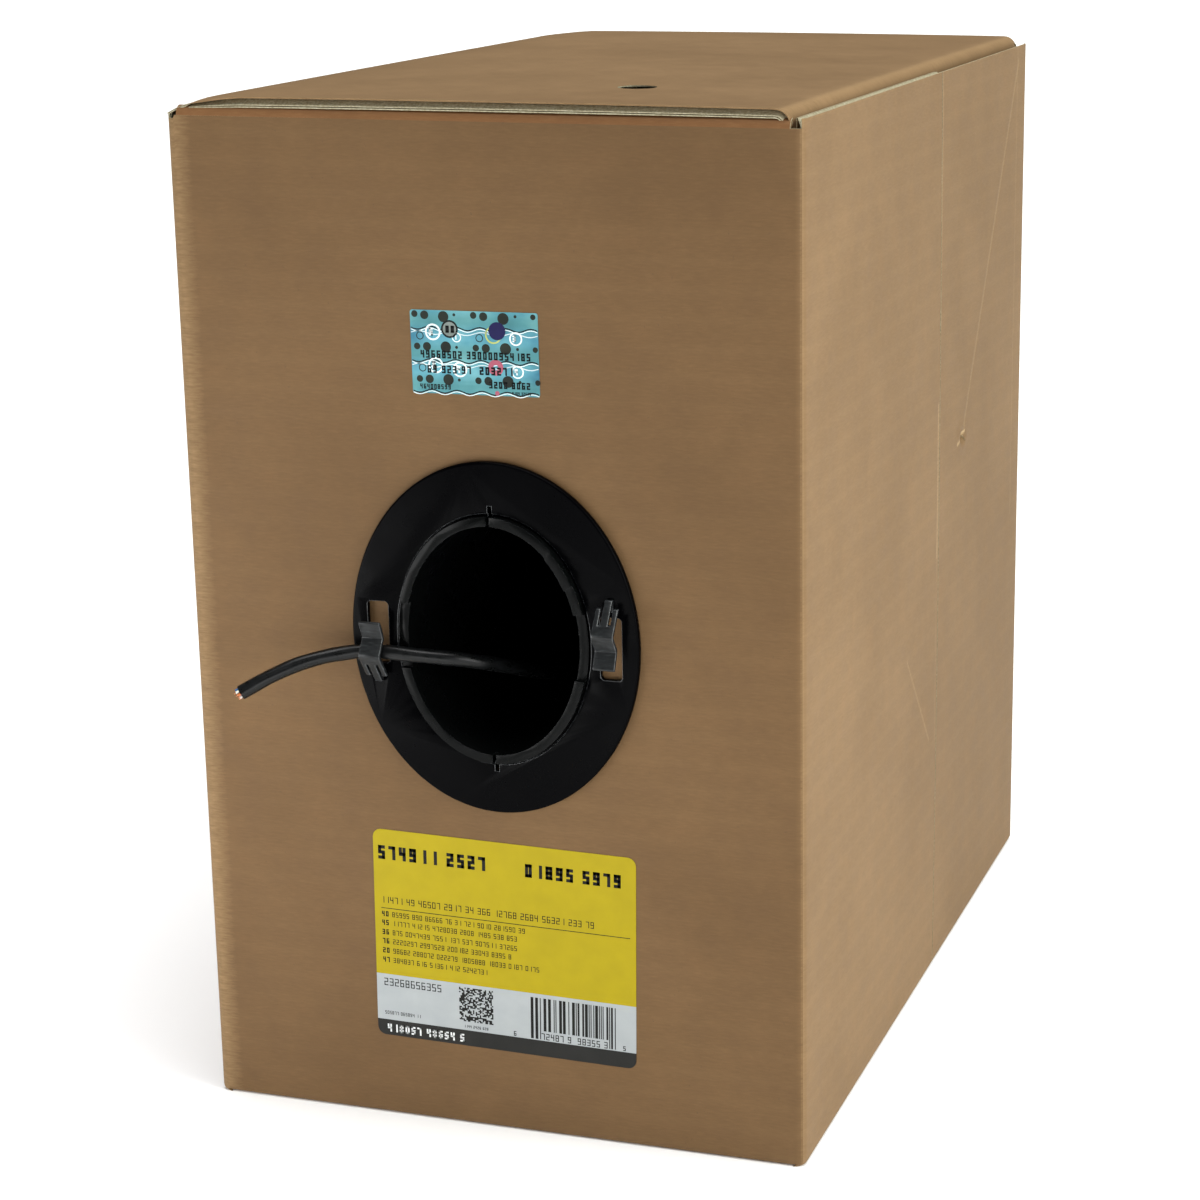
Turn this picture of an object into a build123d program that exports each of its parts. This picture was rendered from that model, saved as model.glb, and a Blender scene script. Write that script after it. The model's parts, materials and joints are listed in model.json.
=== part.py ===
from build123d import *
import math
import os

# Pull box of network cable: a corrugated carton that holds a self-supporting coil of cable.
# The cable is pulled from the middle of the coil, through an oval payout tube in the front wall.
# Frame: X to the right, Y to the back, Z up. Origin: centre of the base, on the floor. Millimetres.

# ---------------------------------------------------------------- driving dimensions
# Carton
carton_width = 211.0  # outside, along X
carton_depth = 340.0  # outside, along Y
wall_height = 343.0  # floor to the top fold of the front wall
board = 3.0  # corrugated board, B flute
fold_radius = 2.6  # outside of a folded corner
seam_gap = 1.0  # between the two outer bottom flaps
seam_x = 1.5  # middle of that gap
minor_flap_length = 105.0  # inner bottom flaps, along Y, at most
minor_flap_coil_gap = 2.0  # flap's free edge to the coil
lap_width = 35.0  # glued lap behind the joint in the right wall
lap_top_clearance = 38.0  # lap stops this far below the wall's top, to leave room for the tuck flap
joint_from_front = 185.5  # butt joint in the right wall, measured from the front face

# Lid
lid_setback = 1.0  # lid's cut edges stand back from the front and back faces
tuck_length = 32.0  # tuck flap, below the lid's underside
tuck_wall_gap = 1.3  # tuck flap to the right wall
tuck_end_gap = 2.0  # tuck flap to the front and back walls
tuck_corner_radius = 12.0
dust_flap_length = 45.0
dust_side_gap = 1.0
finger_hole_diameter = 13.0
finger_hole_x = 33.5
finger_hole_from_front = 57.5

# Payout opening: all ovals are given by their half widths (X) and half heights (Z)
oval_x = 1.2  # centre of the oval
oval_z = 174.2
opening_half_width = 30.0
opening_half_height = 38.5
tube_wall = 1.5
tube_draft = 2.0  # the tube is this much smaller all round at its rear end
tube_bore_reach = 5.0  # the rear end stands this far into the coil's bore
tube_wall_gap = 0.7  # tube to the edge of the hole in the wall
rim_lip = 1.5  # rim hooks this far over the flange
rim_height = 2.2  # rim stands this far in front of the flange
rim_gap_half_height = 11.0  # rim is cut away at the sides, where the cable leaves
latch_height = 1.0
latch_from = 36.0  # degrees round the oval's centre, from the right
latch_to = 56.0
inner_flange_thickness = 2.0
inner_flange_margin = 13.0

flange_half_width = 50.1
flange_half_height = 59.2
flange_thickness = 2.2
flange_edge_radius = 0.9
flange_bore_gap = 0.3
flange_step_depth = 0.8
flange_step_gap = 0.8
slit_width = 1.4
slit_length = 4.0
window_width = 7.4
window_height = 21.0
window_corner_radius = 1.4
window_offset = 40.6  # centre of a window and of its clip, from the oval's centre

# Cable clips: sprung strips over the windows
clip_thickness = 1.3
clip_root = 16.6  # root of the clip below the oval's centre, along Z
clip_foot_height = 4.0
clip_foot_thickness = 1.2
clip_room = 2.85  # under the ridge, more than the cable's diameter
clip_ridge_drop = 6.2
clip_bite = 0.95  # the neck is this much narrower than the cable
clip_neck_drop = 0.8
clip_lip_out = 7.0
clip_lip_rise = 4.6
clip_bend_radius = 1.2
prong_gap = 0.9
prong_slot_length = 7.0
side_prong_short = 2.4

# Coil and cable
coil_wall_gap = 4.0  # coil to the front and back walls
coil_side_gap = 6.5  # coil to the side walls
coil_bore_radius = 102.0
coil_edge_radius = 9.0
coil_sag = 1.5  # the coil settles by this much on the bottom
coil_payout_gap = 3.0  # winding to payout tube
cable_diameter = 4.9
pair_circle = 2.9  # conductors sit on this circle at the cut end
insulation_diameter = 0.92
insulation_length = 1.6
copper_diameter = 0.51
copper_length = 1.0
conductor_count = 8

# Labels
label_width = 94.0
label_height = 75.0
label_corner_radius = 3.0
label_thickness = 0.15
label_tilt = 0.9  # degrees, clockwise seen from the front
label_x = 0.7
label_z = 66.2
seal_width = 43.6
seal_height = 26.8
seal_x = -2.9
seal_z = 268.1
seal_tilt = 0.3

# ---------------------------------------------------------------- places that follow from them
half_width = carton_width / 2
half_depth = carton_depth / 2
front_face = -half_depth
inner_x = half_width - board
inner_y = half_depth - board
joint_y = front_face + joint_from_front
lid_underside = wall_height
lid_top = wall_height + board
tuck_outer_x = inner_x - tuck_wall_gap
tuck_inner_x = tuck_outer_x - board
tuck_half_span = inner_y - tuck_end_gap
lid_half_span = half_depth - lid_setback
dust_left_x = -inner_x + dust_side_gap
dust_right_x = tuck_inner_x - dust_side_gap
flange_front = front_face - flange_thickness
rim_front = flange_front - rim_height
coil_outer_radius = inner_y - coil_wall_gap
coil_width = 2 * (inner_x - coil_side_gap)
tube_rear = -coil_bore_radius + tube_bore_reach
clip_ridge_out = cable_diameter + clip_room + clip_thickness / 2
clip_neck_out = cable_diameter - clip_bite + clip_thickness / 2
coil_z = board + coil_outer_radius - coil_sag
coil_reach = math.sqrt(coil_outer_radius**2 - (coil_z - 2 * board) ** 2)  # at the minor flaps' top
minor_flap_reach = min(minor_flap_length, inner_y - coil_reach - minor_flap_coil_gap)

# Route of the cable's free end, from its cut end. Under the left clip and over the edge of the
# opening: x, distance in front of the front wall's face, z.
cable_outside = [
    (-80.0, 24.0, 156.2),
    (-70.4, 19.0, 162.0),
    (-59.4, 12.8, 166.2),
    (-47.5, 6.8, 168.2),
    (-38.2, 5.2, 168.6),
    (-27.2, 5.6, 168.2),
    (-16.4, 2.0, 167.0),
    (-7.2, -4.8, 164.4),
]
# Down through the payout tube: x, share of the way back and of the way down to the coil's bore.
cable_descent = [
    (-0.6, 0.066, 0.046),
    (3.0, 0.152, 0.106),
    (4.4, 0.27, 0.179),
    (4.6, 0.401, 0.237),
    (4.8, 0.532, 0.316),
    (6.2, 0.702, 0.524),
    (8.6, 0.859, 0.771),
]
# First turn, on the coil's bore: x, degrees from the lowest point towards the back, distance inside.
cable_on_bore = [
    (11.4, -8.6, 18.1),
    (15.0, 6.3, 6.3),
    (19.0, 20.2, 3.4),
    (22.0, 32.4, 3.1),
]

os.makedirs("parts", exist_ok=True)


def write(builder, name):
    builder.part.label = name
    export_step(builder.part, f"parts/{name}.step")


def panel(low, high):
    """A flat panel of board between two opposite corners."""
    size = [b - a for a, b in zip(low, high)]
    with BuildPart() as sheet:
        with BuildSketch(Plane.XY.offset(low[2])):
            with Locations(((low[0] + high[0]) / 2, (low[1] + high[1]) / 2)):
                Rectangle(size[0], size[1])
        extrude(amount=size[2])
    return sheet


# ---------------------------------------------------------------- carton walls
# The front and back walls run the full width; their outside corners are the carton's folds.
with BuildPart() as front_wall:
    with BuildSketch(Plane.XZ.offset(inner_y)):
        with Locations((0, wall_height / 2)):
            Rectangle(carton_width, wall_height)
        with Locations((oval_x, oval_z)):
            Ellipse(
                opening_half_width + tube_wall + tube_wall_gap,
                opening_half_height + tube_wall + tube_wall_gap,
                mode=Mode.SUBTRACT,
            )
    extrude(amount=board)
    front_rim = front_wall.faces().sort_by(Axis.Y)[0].outer_wire().edges()
    fillet(front_rim, fold_radius)
write(front_wall, "front_wall")

with BuildPart() as back_wall:
    with BuildSketch(Plane.XZ.offset(-half_depth)):
        with Locations((0, wall_height / 2)):
            Rectangle(carton_width, wall_height)
    extrude(amount=board)
    fillet(back_wall.faces().sort_by(Axis.Y)[-1].outer_wire().edges(), fold_radius)
write(back_wall, "back_wall")

left_wall = panel((-half_width, -inner_y, 0), (-inner_x, inner_y, wall_height))
write(left_wall, "left_wall")
right_wall_front = panel((inner_x, -inner_y, 0), (half_width, joint_y, wall_height))
write(right_wall_front, "right_wall_front")
right_wall_rear = panel((inner_x, joint_y, 0), (half_width, inner_y, wall_height))
write(right_wall_rear, "right_wall_rear")

# The lap is glued behind the butt joint, mostly on the front half of the wall.
with BuildPart() as glue_lap:
    with BuildSketch(Plane.YZ.offset(inner_x - board)):
        with Locations((joint_y, 2 * board)):
            Rectangle(
                lap_width,
                wall_height - lap_top_clearance - 2 * board,
                align=(Align.CENTER, Align.MIN),
            )
        chamfer(vertices(), 8.0)
    extrude(amount=board)
write(glue_lap, "glue_lap")

# ---------------------------------------------------------------- bottom flaps
bottom_flap_left = panel((-inner_x, -inner_y, 0), (seam_x - seam_gap / 2, inner_y, board))
write(bottom_flap_left, "bottom_flap_left")
bottom_flap_right = panel((seam_x + seam_gap / 2, -inner_y, 0), (inner_x, inner_y, board))
write(bottom_flap_right, "bottom_flap_right")
bottom_flap_front = panel(
    (-inner_x, -inner_y, board), (inner_x, -inner_y + minor_flap_reach, 2 * board)
)
write(bottom_flap_front, "bottom_flap_front")
bottom_flap_rear = panel(
    (-inner_x, inner_y - minor_flap_reach, board), (inner_x, inner_y, 2 * board)
)
write(bottom_flap_rear, "bottom_flap_rear")

# ---------------------------------------------------------------- lid and top flaps
with BuildPart() as lid_panel:
    with BuildSketch(Plane.XY.offset(lid_underside)):
        with Locations(((-half_width + tuck_inner_x) / 2, 0)):
            Rectangle(tuck_inner_x + half_width, 2 * lid_half_span)
        with Locations((finger_hole_x, front_face + finger_hole_from_front)):
            Circle(finger_hole_diameter / 2, mode=Mode.SUBTRACT)
    extrude(amount=board)
    hinge_edges = lid_panel.edges().filter_by(Axis.Y).group_by(Axis.X)[0]
    fillet(hinge_edges.sort_by(Axis.Z)[-1], fold_radius)
write(lid_panel, "lid_panel")

# The tuck flap carries the rounded fold; it turns about the fold's inner corner.
with BuildPart() as lid_tuck_flap:
    with BuildSketch(Plane.YZ.offset(tuck_inner_x)):
        with Locations((0, lid_underside - tuck_length)):
            Rectangle(2 * tuck_half_span, tuck_length, align=(Align.CENTER, Align.MIN))
        fillet(vertices().group_by(Axis.Y)[0], tuck_corner_radius)
        with Locations((0, lid_underside)):
            Rectangle(2 * lid_half_span, board, align=(Align.CENTER, Align.MIN))
    extrude(amount=board)
    outer_edges = lid_tuck_flap.edges().filter_by(Axis.Y).group_by(Axis.X)[-1]
    fillet(outer_edges.sort_by(Axis.Z)[-1], fold_radius)
write(lid_tuck_flap, "lid_tuck_flap")

dust_under = lid_underside - board
front_dust_flap = panel(
    (dust_left_x, -inner_y, dust_under), (dust_right_x, -inner_y + dust_flap_length, lid_underside)
)
write(front_dust_flap, "front_dust_flap")
rear_dust_flap = panel(
    (dust_left_x, inner_y - dust_flap_length, dust_under), (dust_right_x, inner_y, lid_underside)
)
write(rear_dust_flap, "rear_dust_flap")

# ---------------------------------------------------------------- outer flange
bore_half_width = opening_half_width + tube_wall + flange_bore_gap
bore_half_height = opening_half_height + tube_wall + flange_bore_gap
step_half_width = opening_half_width + tube_wall + rim_lip + flange_step_gap
step_half_height = opening_half_height + tube_wall + rim_lip + flange_step_gap
with BuildPart() as outer_flange:
    with BuildSketch(Plane.XZ.offset(half_depth)):
        with Locations((oval_x, oval_z)):
            Ellipse(flange_half_width, flange_half_height)
    extrude(amount=flange_thickness)
    fillet(outer_flange.faces().sort_by(Axis.Y)[0].edges(), flange_edge_radius)
    with BuildSketch(Plane.XZ.offset(half_depth)):
        with Locations((oval_x, oval_z)):
            Ellipse(bore_half_width, bore_half_height)
        with Locations((oval_x - window_offset, oval_z), (oval_x + window_offset, oval_z)):
            RectangleRounded(window_width, window_height, window_corner_radius)
        for side in (-1, 1):
            with Locations((oval_x, oval_z + side * (bore_half_height + slit_length / 2))):
                Rectangle(slit_width, slit_length + flange_step_gap)
    extrude(amount=flange_thickness, mode=Mode.SUBTRACT)
    with BuildSketch(Plane.XZ.offset(half_depth + flange_thickness - flange_step_depth)):
        with Locations((oval_x, oval_z)):
            Ellipse(step_half_width, step_half_height)
    extrude(amount=flange_step_depth, mode=Mode.SUBTRACT)
write(outer_flange, "outer_flange")

# ---------------------------------------------------------------- payout tube
# One moulding: an inner flange behind the wall, a drafted sleeve and a rim that hooks over the
# outer flange. The rim is cut away at both sides, and one length of it is a raised latch.
tube_half_width = opening_half_width + tube_wall
tube_half_height = opening_half_height + tube_wall
rim_seat = flange_front + flange_step_depth
latch_reach = 2 * tube_half_height
latch_sector = [(oval_x, oval_z)]
for angle in (latch_from, latch_to):
    edge_x = oval_x + latch_reach * math.cos(math.radians(angle))
    edge_z = oval_z + latch_reach * math.sin(math.radians(angle))
    latch_sector.append((edge_x, edge_z))
with BuildPart() as payout_tube:
    # sleeve: straight through the wall, then drafted
    with BuildSketch(Plane.XZ.offset(inner_y - inner_flange_thickness)):
        with Locations((oval_x, oval_z)):
            Ellipse(tube_half_width, tube_half_height)
    extrude(amount=-rim_seat - inner_y + inner_flange_thickness)
    with BuildSketch(Plane.XZ.offset(inner_y - inner_flange_thickness)):
        with Locations((oval_x, oval_z)):
            Ellipse(tube_half_width, tube_half_height)
    with BuildSketch(Plane.XZ.offset(-tube_rear)):
        with Locations((oval_x, oval_z)):
            Ellipse(tube_half_width - tube_draft, tube_half_height - tube_draft)
    loft(ruled=True)
    # flange behind the wall
    with BuildSketch(Plane.XZ.offset(inner_y - inner_flange_thickness)):
        with Locations((oval_x, oval_z)):
            Ellipse(tube_half_width + inner_flange_margin, tube_half_height + inner_flange_margin)
    extrude(amount=inner_flange_thickness)
    # rim, with its raised latch
    with BuildSketch(Plane.XZ.offset(-rim_seat)):
        with Locations((oval_x, oval_z)):
            Ellipse(tube_half_width + rim_lip, tube_half_height + rim_lip)
    extrude(amount=rim_seat - rim_front)
    with BuildSketch(Plane.XZ.offset(-rim_front)):
        with Locations((oval_x, oval_z)):
            Ellipse(tube_half_width + rim_lip, tube_half_height + rim_lip)
        with BuildLine():
            Polyline(latch_sector, close=True)
        make_face(mode=Mode.INTERSECT)
    extrude(amount=latch_height)
    # bore
    with BuildSketch(Plane.XZ.offset(inner_y - inner_flange_thickness)):
        with Locations((oval_x, oval_z)):
            Ellipse(opening_half_width, opening_half_height)
    extrude(amount=carton_depth, mode=Mode.SUBTRACT)
    with BuildSketch(Plane.XZ.offset(inner_y - inner_flange_thickness)):
        with Locations((oval_x, oval_z)):
            Ellipse(opening_half_width, opening_half_height)
    with BuildSketch(Plane.XZ.offset(-tube_rear)):
        with Locations((oval_x, oval_z)):
            Ellipse(opening_half_width - tube_draft, opening_half_height - tube_draft)
    loft(ruled=True, mode=Mode.SUBTRACT)
    # the rim is cut away at both sides, and has a slit at the top and the bottom
    with BuildSketch(Plane.XZ.offset(-flange_front)):
        with Locations((oval_x, oval_z)):
            Rectangle(4 * tube_half_width, 2 * rim_gap_half_height)
    extrude(amount=rim_height + latch_height, mode=Mode.SUBTRACT)
    with BuildSketch(Plane.XZ.offset(-rim_seat)):
        for side in (-1, 1):
            with Locations((oval_x, oval_z + side * tube_half_height)):
                Rectangle(slit_width, 2 * rim_lip + 2)
    extrude(amount=rim_seat - rim_front, mode=Mode.SUBTRACT)
write(payout_tube, "payout_tube")


# ---------------------------------------------------------------- cable clips
def cable_clip(side):
    """A sprung strip over one window: foot, prongs, hump that holds the cable, neck and lip.

    side is 1 for the left clip, whose foot is at the bottom, and -1 for the right clip,
    which is the same moulding turned half a turn.
    """
    middle = [
        (-flange_front + clip_thickness / 2, oval_z - side * clip_root),
        (-flange_front + clip_ridge_out, oval_z - side * clip_ridge_drop),
        (-flange_front + clip_neck_out, oval_z - side * clip_neck_drop),
        (-flange_front + clip_lip_out, oval_z + side * clip_lip_rise),
    ]
    centre_x = oval_x - side * window_offset
    foot_z = oval_z - side * (clip_root - clip_foot_height / 2)
    with BuildPart() as clip:
        with BuildSketch(Plane.YZ.offset(centre_x - window_width / 2)):
            with BuildLine():
                FilletPolyline(*[(-out, up) for out, up in middle], radius=clip_bend_radius)
                offset(amount=clip_thickness / 2, side=Side.BOTH)
            make_face()
        extrude(amount=window_width)
        with BuildSketch(Plane.YZ.offset(centre_x - window_width / 6)):
            with Locations((flange_front - clip_foot_thickness / 2, foot_z)):
                Rectangle(clip_foot_thickness, clip_foot_height)
        extrude(amount=window_width / 3)
        # the foot is cut flat where it stands on the flange
        with BuildSketch(Plane.XZ.offset(-flange_front)):
            with Locations((centre_x, oval_z)):
                Rectangle(2 * window_width, 3 * clip_root)
        extrude(amount=-clip_ridge_out, mode=Mode.SUBTRACT)
        # the root's end is cut square, and two slots part it into three prongs
        with BuildSketch(Plane.XZ.offset(-flange_front)):
            with Locations((centre_x, oval_z - side * (clip_root + clip_foot_height / 2))):
                Rectangle(2 * window_width, clip_foot_height)
            for slot in (-1, 1):
                slot_x = centre_x + slot * (window_width / 6 + prong_gap / 2)
                with Locations((slot_x, oval_z - side * (clip_root - prong_slot_length / 2))):
                    Rectangle(prong_gap, prong_slot_length)
                prong_x = centre_x + slot * (window_width / 3 + prong_gap / 2)
                with Locations((prong_x, oval_z - side * (clip_root - side_prong_short / 2))):
                    Rectangle(window_width / 3, side_prong_short)
        extrude(amount=clip_ridge_out + clip_thickness, mode=Mode.SUBTRACT)
    return clip


cable_clip_left = cable_clip(1)
write(cable_clip_left, "cable_clip_left")
cable_clip_right = cable_clip(-1)
write(cable_clip_right, "cable_clip_right")

# ---------------------------------------------------------------- coil
with BuildPart() as cable_coil:
    with BuildSketch(Plane.YZ.offset(-coil_width / 2)):
        with Locations((0, coil_z)):
            Circle(coil_outer_radius)
    extrude(amount=coil_width)
    fillet(cable_coil.edges().filter_by(GeomType.CIRCLE), coil_edge_radius)
    with BuildSketch(Plane.YZ.offset(-coil_width / 2)):
        with Locations((0, coil_z)):
            Circle(coil_bore_radius)
    extrude(amount=coil_width, mode=Mode.SUBTRACT)
    with BuildSketch(Plane.XZ):
        with Locations((oval_x, oval_z)):
            Ellipse(tube_half_width + coil_payout_gap, tube_half_height + coil_payout_gap)
    extrude(amount=carton_depth, mode=Mode.SUBTRACT)
    with BuildSketch(Plane.XY.offset(board)):
        Rectangle(carton_width, carton_depth)
    extrude(amount=-2 * coil_sag, mode=Mode.SUBTRACT)
write(cable_coil, "cable_coil")

# ---------------------------------------------------------------- cable's free end
route = [Vector(x, front_face - out, z) for x, out, z in cable_outside]
on_bore = [
    Vector(x, 0, coil_z) + Vector(0, 0, inside - coil_bore_radius).rotate(Axis.X, angle)
    for x, angle, inside in cable_on_bore
]
last = route[-1]
way = on_bore[0] - last
route += [Vector(x, last.Y + way.Y * back, last.Z + way.Z * down) for x, back, down in cable_descent]
route += on_bore
print("cable route, mm:", [tuple(round(value, 2) for value in point) for point in route])
bend_radii = []
for before, corner, after in zip(route, route[1:], route[2:]):
    turn = (corner - before).get_angle(after - corner)
    shorter_run = min((corner - before).length, (after - corner).length)
    bend_radii.append(0.45 * shorter_run / math.tan(math.radians(turn) / 2))
print("cable bend radii, mm:", [round(r, 1) for r in bend_radii])

with BuildPart() as cable_lead:
    with BuildLine() as centre_line:
        FilletPolyline(*route, radius=bend_radii)
    cut_end = Plane(origin=centre_line.line @ 0, z_dir=centre_line.line % 0)
    with BuildSketch(cut_end):
        Circle(cable_diameter / 2)
    sweep()
write(cable_lead, "cable_lead")
cable_length = centre_line.wire().length
section = math.pi * cable_diameter**2 / 4
print("cable lead length, mm:", round(cable_length, 1))
print("volume over section times length:", round(cable_lead.part.volume / (section * cable_length), 5))


def wire_ends(diameter, start, length):
    """Short straight ends of the conductors, beyond the jacket's cut face."""
    with BuildPart() as ends:
        with BuildSketch(cut_end.offset(-start)):
            with PolarLocations(pair_circle / 2, conductor_count):
                Circle(diameter / 2)
        extrude(amount=-length)
    return ends


conductor_ends = wire_ends(insulation_diameter, 0, insulation_length)
write(conductor_ends, "conductor_ends")
copper_ends = wire_ends(copper_diameter, insulation_length, copper_length)
write(copper_ends, "copper_ends")


# ---------------------------------------------------------------- labels on the front wall
def sticker(centre_x, centre_z, size_x, size_z, corner_radius, tilt):
    with BuildPart() as paper:
        with BuildSketch(Plane.XZ.offset(half_depth)):
            with Locations(Location((centre_x, centre_z), -tilt)):
                RectangleRounded(size_x, size_z, corner_radius)
        extrude(amount=label_thickness)
    return paper


product_label = sticker(label_x, label_z, label_width, label_height, label_corner_radius, label_tilt)
write(product_label, "product_label")
seal_sticker = sticker(seal_x, seal_z, seal_width, seal_height, 1.0, seal_tilt)
write(seal_sticker, "seal_sticker")
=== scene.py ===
import json
import math
import random

import bmesh
import bpy
from mathutils import Matrix, Vector


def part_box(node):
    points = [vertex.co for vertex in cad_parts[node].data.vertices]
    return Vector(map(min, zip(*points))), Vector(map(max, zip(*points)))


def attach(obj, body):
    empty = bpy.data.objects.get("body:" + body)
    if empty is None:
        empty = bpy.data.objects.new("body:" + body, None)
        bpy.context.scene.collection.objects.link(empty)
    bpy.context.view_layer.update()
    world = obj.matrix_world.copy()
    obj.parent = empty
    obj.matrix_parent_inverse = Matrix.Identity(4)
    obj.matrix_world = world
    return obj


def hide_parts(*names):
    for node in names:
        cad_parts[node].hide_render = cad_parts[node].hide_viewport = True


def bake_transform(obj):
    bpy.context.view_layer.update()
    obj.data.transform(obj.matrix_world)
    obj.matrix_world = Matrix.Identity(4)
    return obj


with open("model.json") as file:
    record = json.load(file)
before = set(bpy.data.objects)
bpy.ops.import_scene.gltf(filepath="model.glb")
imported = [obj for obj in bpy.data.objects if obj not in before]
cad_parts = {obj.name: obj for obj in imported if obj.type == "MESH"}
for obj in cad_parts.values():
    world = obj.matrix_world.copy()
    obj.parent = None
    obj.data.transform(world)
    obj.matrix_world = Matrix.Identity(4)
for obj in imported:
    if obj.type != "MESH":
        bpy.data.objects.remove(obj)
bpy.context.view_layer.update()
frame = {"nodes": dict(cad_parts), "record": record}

MM = 0.001
FLUTE_PITCH = 9.0 * MM  # the flutes run level round the walls
random.seed(7)

# ---------------------------------------------------------------- places read from the frame
carton_low, carton_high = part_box("front_wall")
_, back_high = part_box("back_wall")
lid_low, lid_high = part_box("lid_panel")
tuck_low, tuck_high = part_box("lid_tuck_flap")
dust_low, dust_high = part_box("front_dust_flap")
rear_dust_low, rear_dust_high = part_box("rear_dust_flap")
flange_low, flange_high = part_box("outer_flange")
_, tube_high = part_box("payout_tube")
coil_low, coil_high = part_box("cable_coil")
label_low, label_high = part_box("product_label")
seal_low, seal_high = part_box("seal_sticker")
rear_right_low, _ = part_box("right_wall_rear")
lap_low, lap_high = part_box("glue_lap")

openings = {opening["name"]: opening["box_m"] for opening in frame["record"]["physics"]["openings"]}
FINGER_HOLE = sum((Vector(corner) for corner in openings["finger_hole"]), Vector()) / 2
FINGER_RADIUS = 6.5 * MM

LEFT, RIGHT = carton_low.x, carton_high.x
FRONT, BACK = carton_low.y, back_high.y
WALL_TOP = carton_high.z
BOARD = lid_high.z - lid_low.z
JOINT_Y = rear_right_low.y
OVAL = (flange_low + flange_high) / 2
HINGE_SIDE_FOLD = 3.0 * MM  # outside radius of the fold between the left wall and the lid
HINGE_TOP = lid_low.z + 1.3 * MM  # the board is crushed thin along that fold
LID_ROLL = 5.0 * MM  # outside radius of the soft roll between the lid and its tuck flap
SLIT_REACH = 4.4 * MM  # the board's hole reaches past the slits above and below the sleeve
TUBE_HALF_X, TUBE_HALF_Z = 31.5 * MM, 40.0 * MM  # outside of the payout tube's sleeve

# ---------------------------------------------------------------- camera
FLOOR_HALF = 60.0  # half of the floor's width, and the camera's far limit
CAMERA_AZIMUTH = 19.07
CAMERA_ELEVATION = 15.48
CAMERA_ROLL = -1.0
CAMERA_DISTANCE = 1.087
CAMERA_TARGET = Vector((-0.0088, 0.0, 0.1295))
LENS_MM = 84.37
SENSOR_MM = 36.0
SHIFT_X, SHIFT_Y = -0.0308, 0.0286


def make_camera():
    """The camera, turned about its own axis by the roll and looking at the target."""
    azimuth, elevation, roll = (math.radians(a) for a in (CAMERA_AZIMUTH, CAMERA_ELEVATION, CAMERA_ROLL))
    back = Vector((math.sin(azimuth) * math.cos(elevation), -math.cos(azimuth) * math.cos(elevation),
                   math.sin(elevation)))
    right = (-back).cross(Vector((0, 0, 1))).normalized()
    up = right.cross(-back)
    rolled_right = right * math.cos(roll) + up * math.sin(roll)
    rolled_up = up * math.cos(roll) - right * math.sin(roll)
    data = bpy.data.cameras.new("camera")
    data.lens = LENS_MM
    data.sensor_width = SENSOR_MM
    data.shift_x, data.shift_y = SHIFT_X, SHIFT_Y
    data.clip_start, data.clip_end = 0.05, FLOOR_HALF
    camera = bpy.data.objects.new("camera", data)
    bpy.context.scene.collection.objects.link(camera)
    place = Matrix((rolled_right, rolled_up, back)).transposed().to_4x4()
    place.translation = CAMERA_TARGET + back * CAMERA_DISTANCE
    camera.matrix_world = place
    bpy.context.scene.camera = camera


# ---------------------------------------------------------------- materials
def linear(hex_colour):
    """An sRGB hex colour as linear RGBA."""
    values = [int(hex_colour[i:i + 2], 16) / 255 for i in (1, 3, 5)]
    return [v / 12.92 if v <= 0.04045 else ((v + 0.055) / 1.055) ** 2.4 for v in values] + [1.0]


def add(material, kind, links=(), **settings):
    """Adds a node. A setting whose name is an input is set there, any other is set on the node.

    in_1 is the input numbered 1, and stops are a colour ramp's (position, hex colour) pairs.
    links are (input, node, output) triples of names or numbers. A node alone stands for its first
    output, linked to the input that has the node's place in the list.
    """
    tree = material.node_tree
    node = tree.nodes.new("ShaderNode" + kind)
    for key, value in settings.items():
        name = key.replace("_", " ")
        if key == "stops":
            elements = node.color_ramp.elements
            while len(elements) < len(value):
                elements.new(0.5)
            for element, (position, colour) in zip(elements, value):
                element.position = position
                element.color = linear(colour)
        elif hasattr(node, key) and key not in node.inputs:
            setattr(node, key, value)
        elif name in node.inputs:
            node.inputs[name].default_value = value
        else:
            node.inputs[int(key[3:])].default_value = value
    for place, link in enumerate(links):
        socket, source, output = link if isinstance(link, tuple) else (place, link, 0)
        tree.links.new(source.outputs[output], node.inputs[socket])
    return node


def new_material(name):
    """An empty material, and the links that give a texture its object coordinates."""
    material = bpy.data.materials.new(name)
    material.use_nodes = True
    material.node_tree.nodes.clear()
    return material, [("Vector", add(material, "TexCoord"), "Object")]


def surface(material, colour, rough=None, normal=None, **values):
    """The Principled shader with the material output; colour, rough and normal are nodes."""
    inputs = (("Base Color", colour), ("Roughness", rough), ("Normal", normal))
    links = [(socket, node, 0) for socket, node in inputs if node is not None]
    shader = add(material, "BsdfPrincipled", links, **values)
    add(material, "OutputMaterial", [shader])
    return material


def mottled(name, size, detail, stops, bump=None, rough=None, **values):
    """A material coloured by one noise of this size; bump is (strength, depth), rough is (least, most)."""
    m, at = new_material(name)
    noise_map = add(m, "TexNoise", at, Scale=1 / size, Detail=detail)
    colour = add(m, "ValToRGB", [noise_map], stops=stops)
    relief = add(m, "Bump", [("Height", noise_map, 0)], Strength=bump[0], Distance=bump[1]) if bump else None
    shine = add(m, "MapRange", [noise_map], To_Min=rough[0], To_Max=rough[1]) if rough else None
    return surface(m, colour, shine, relief, **values)


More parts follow.
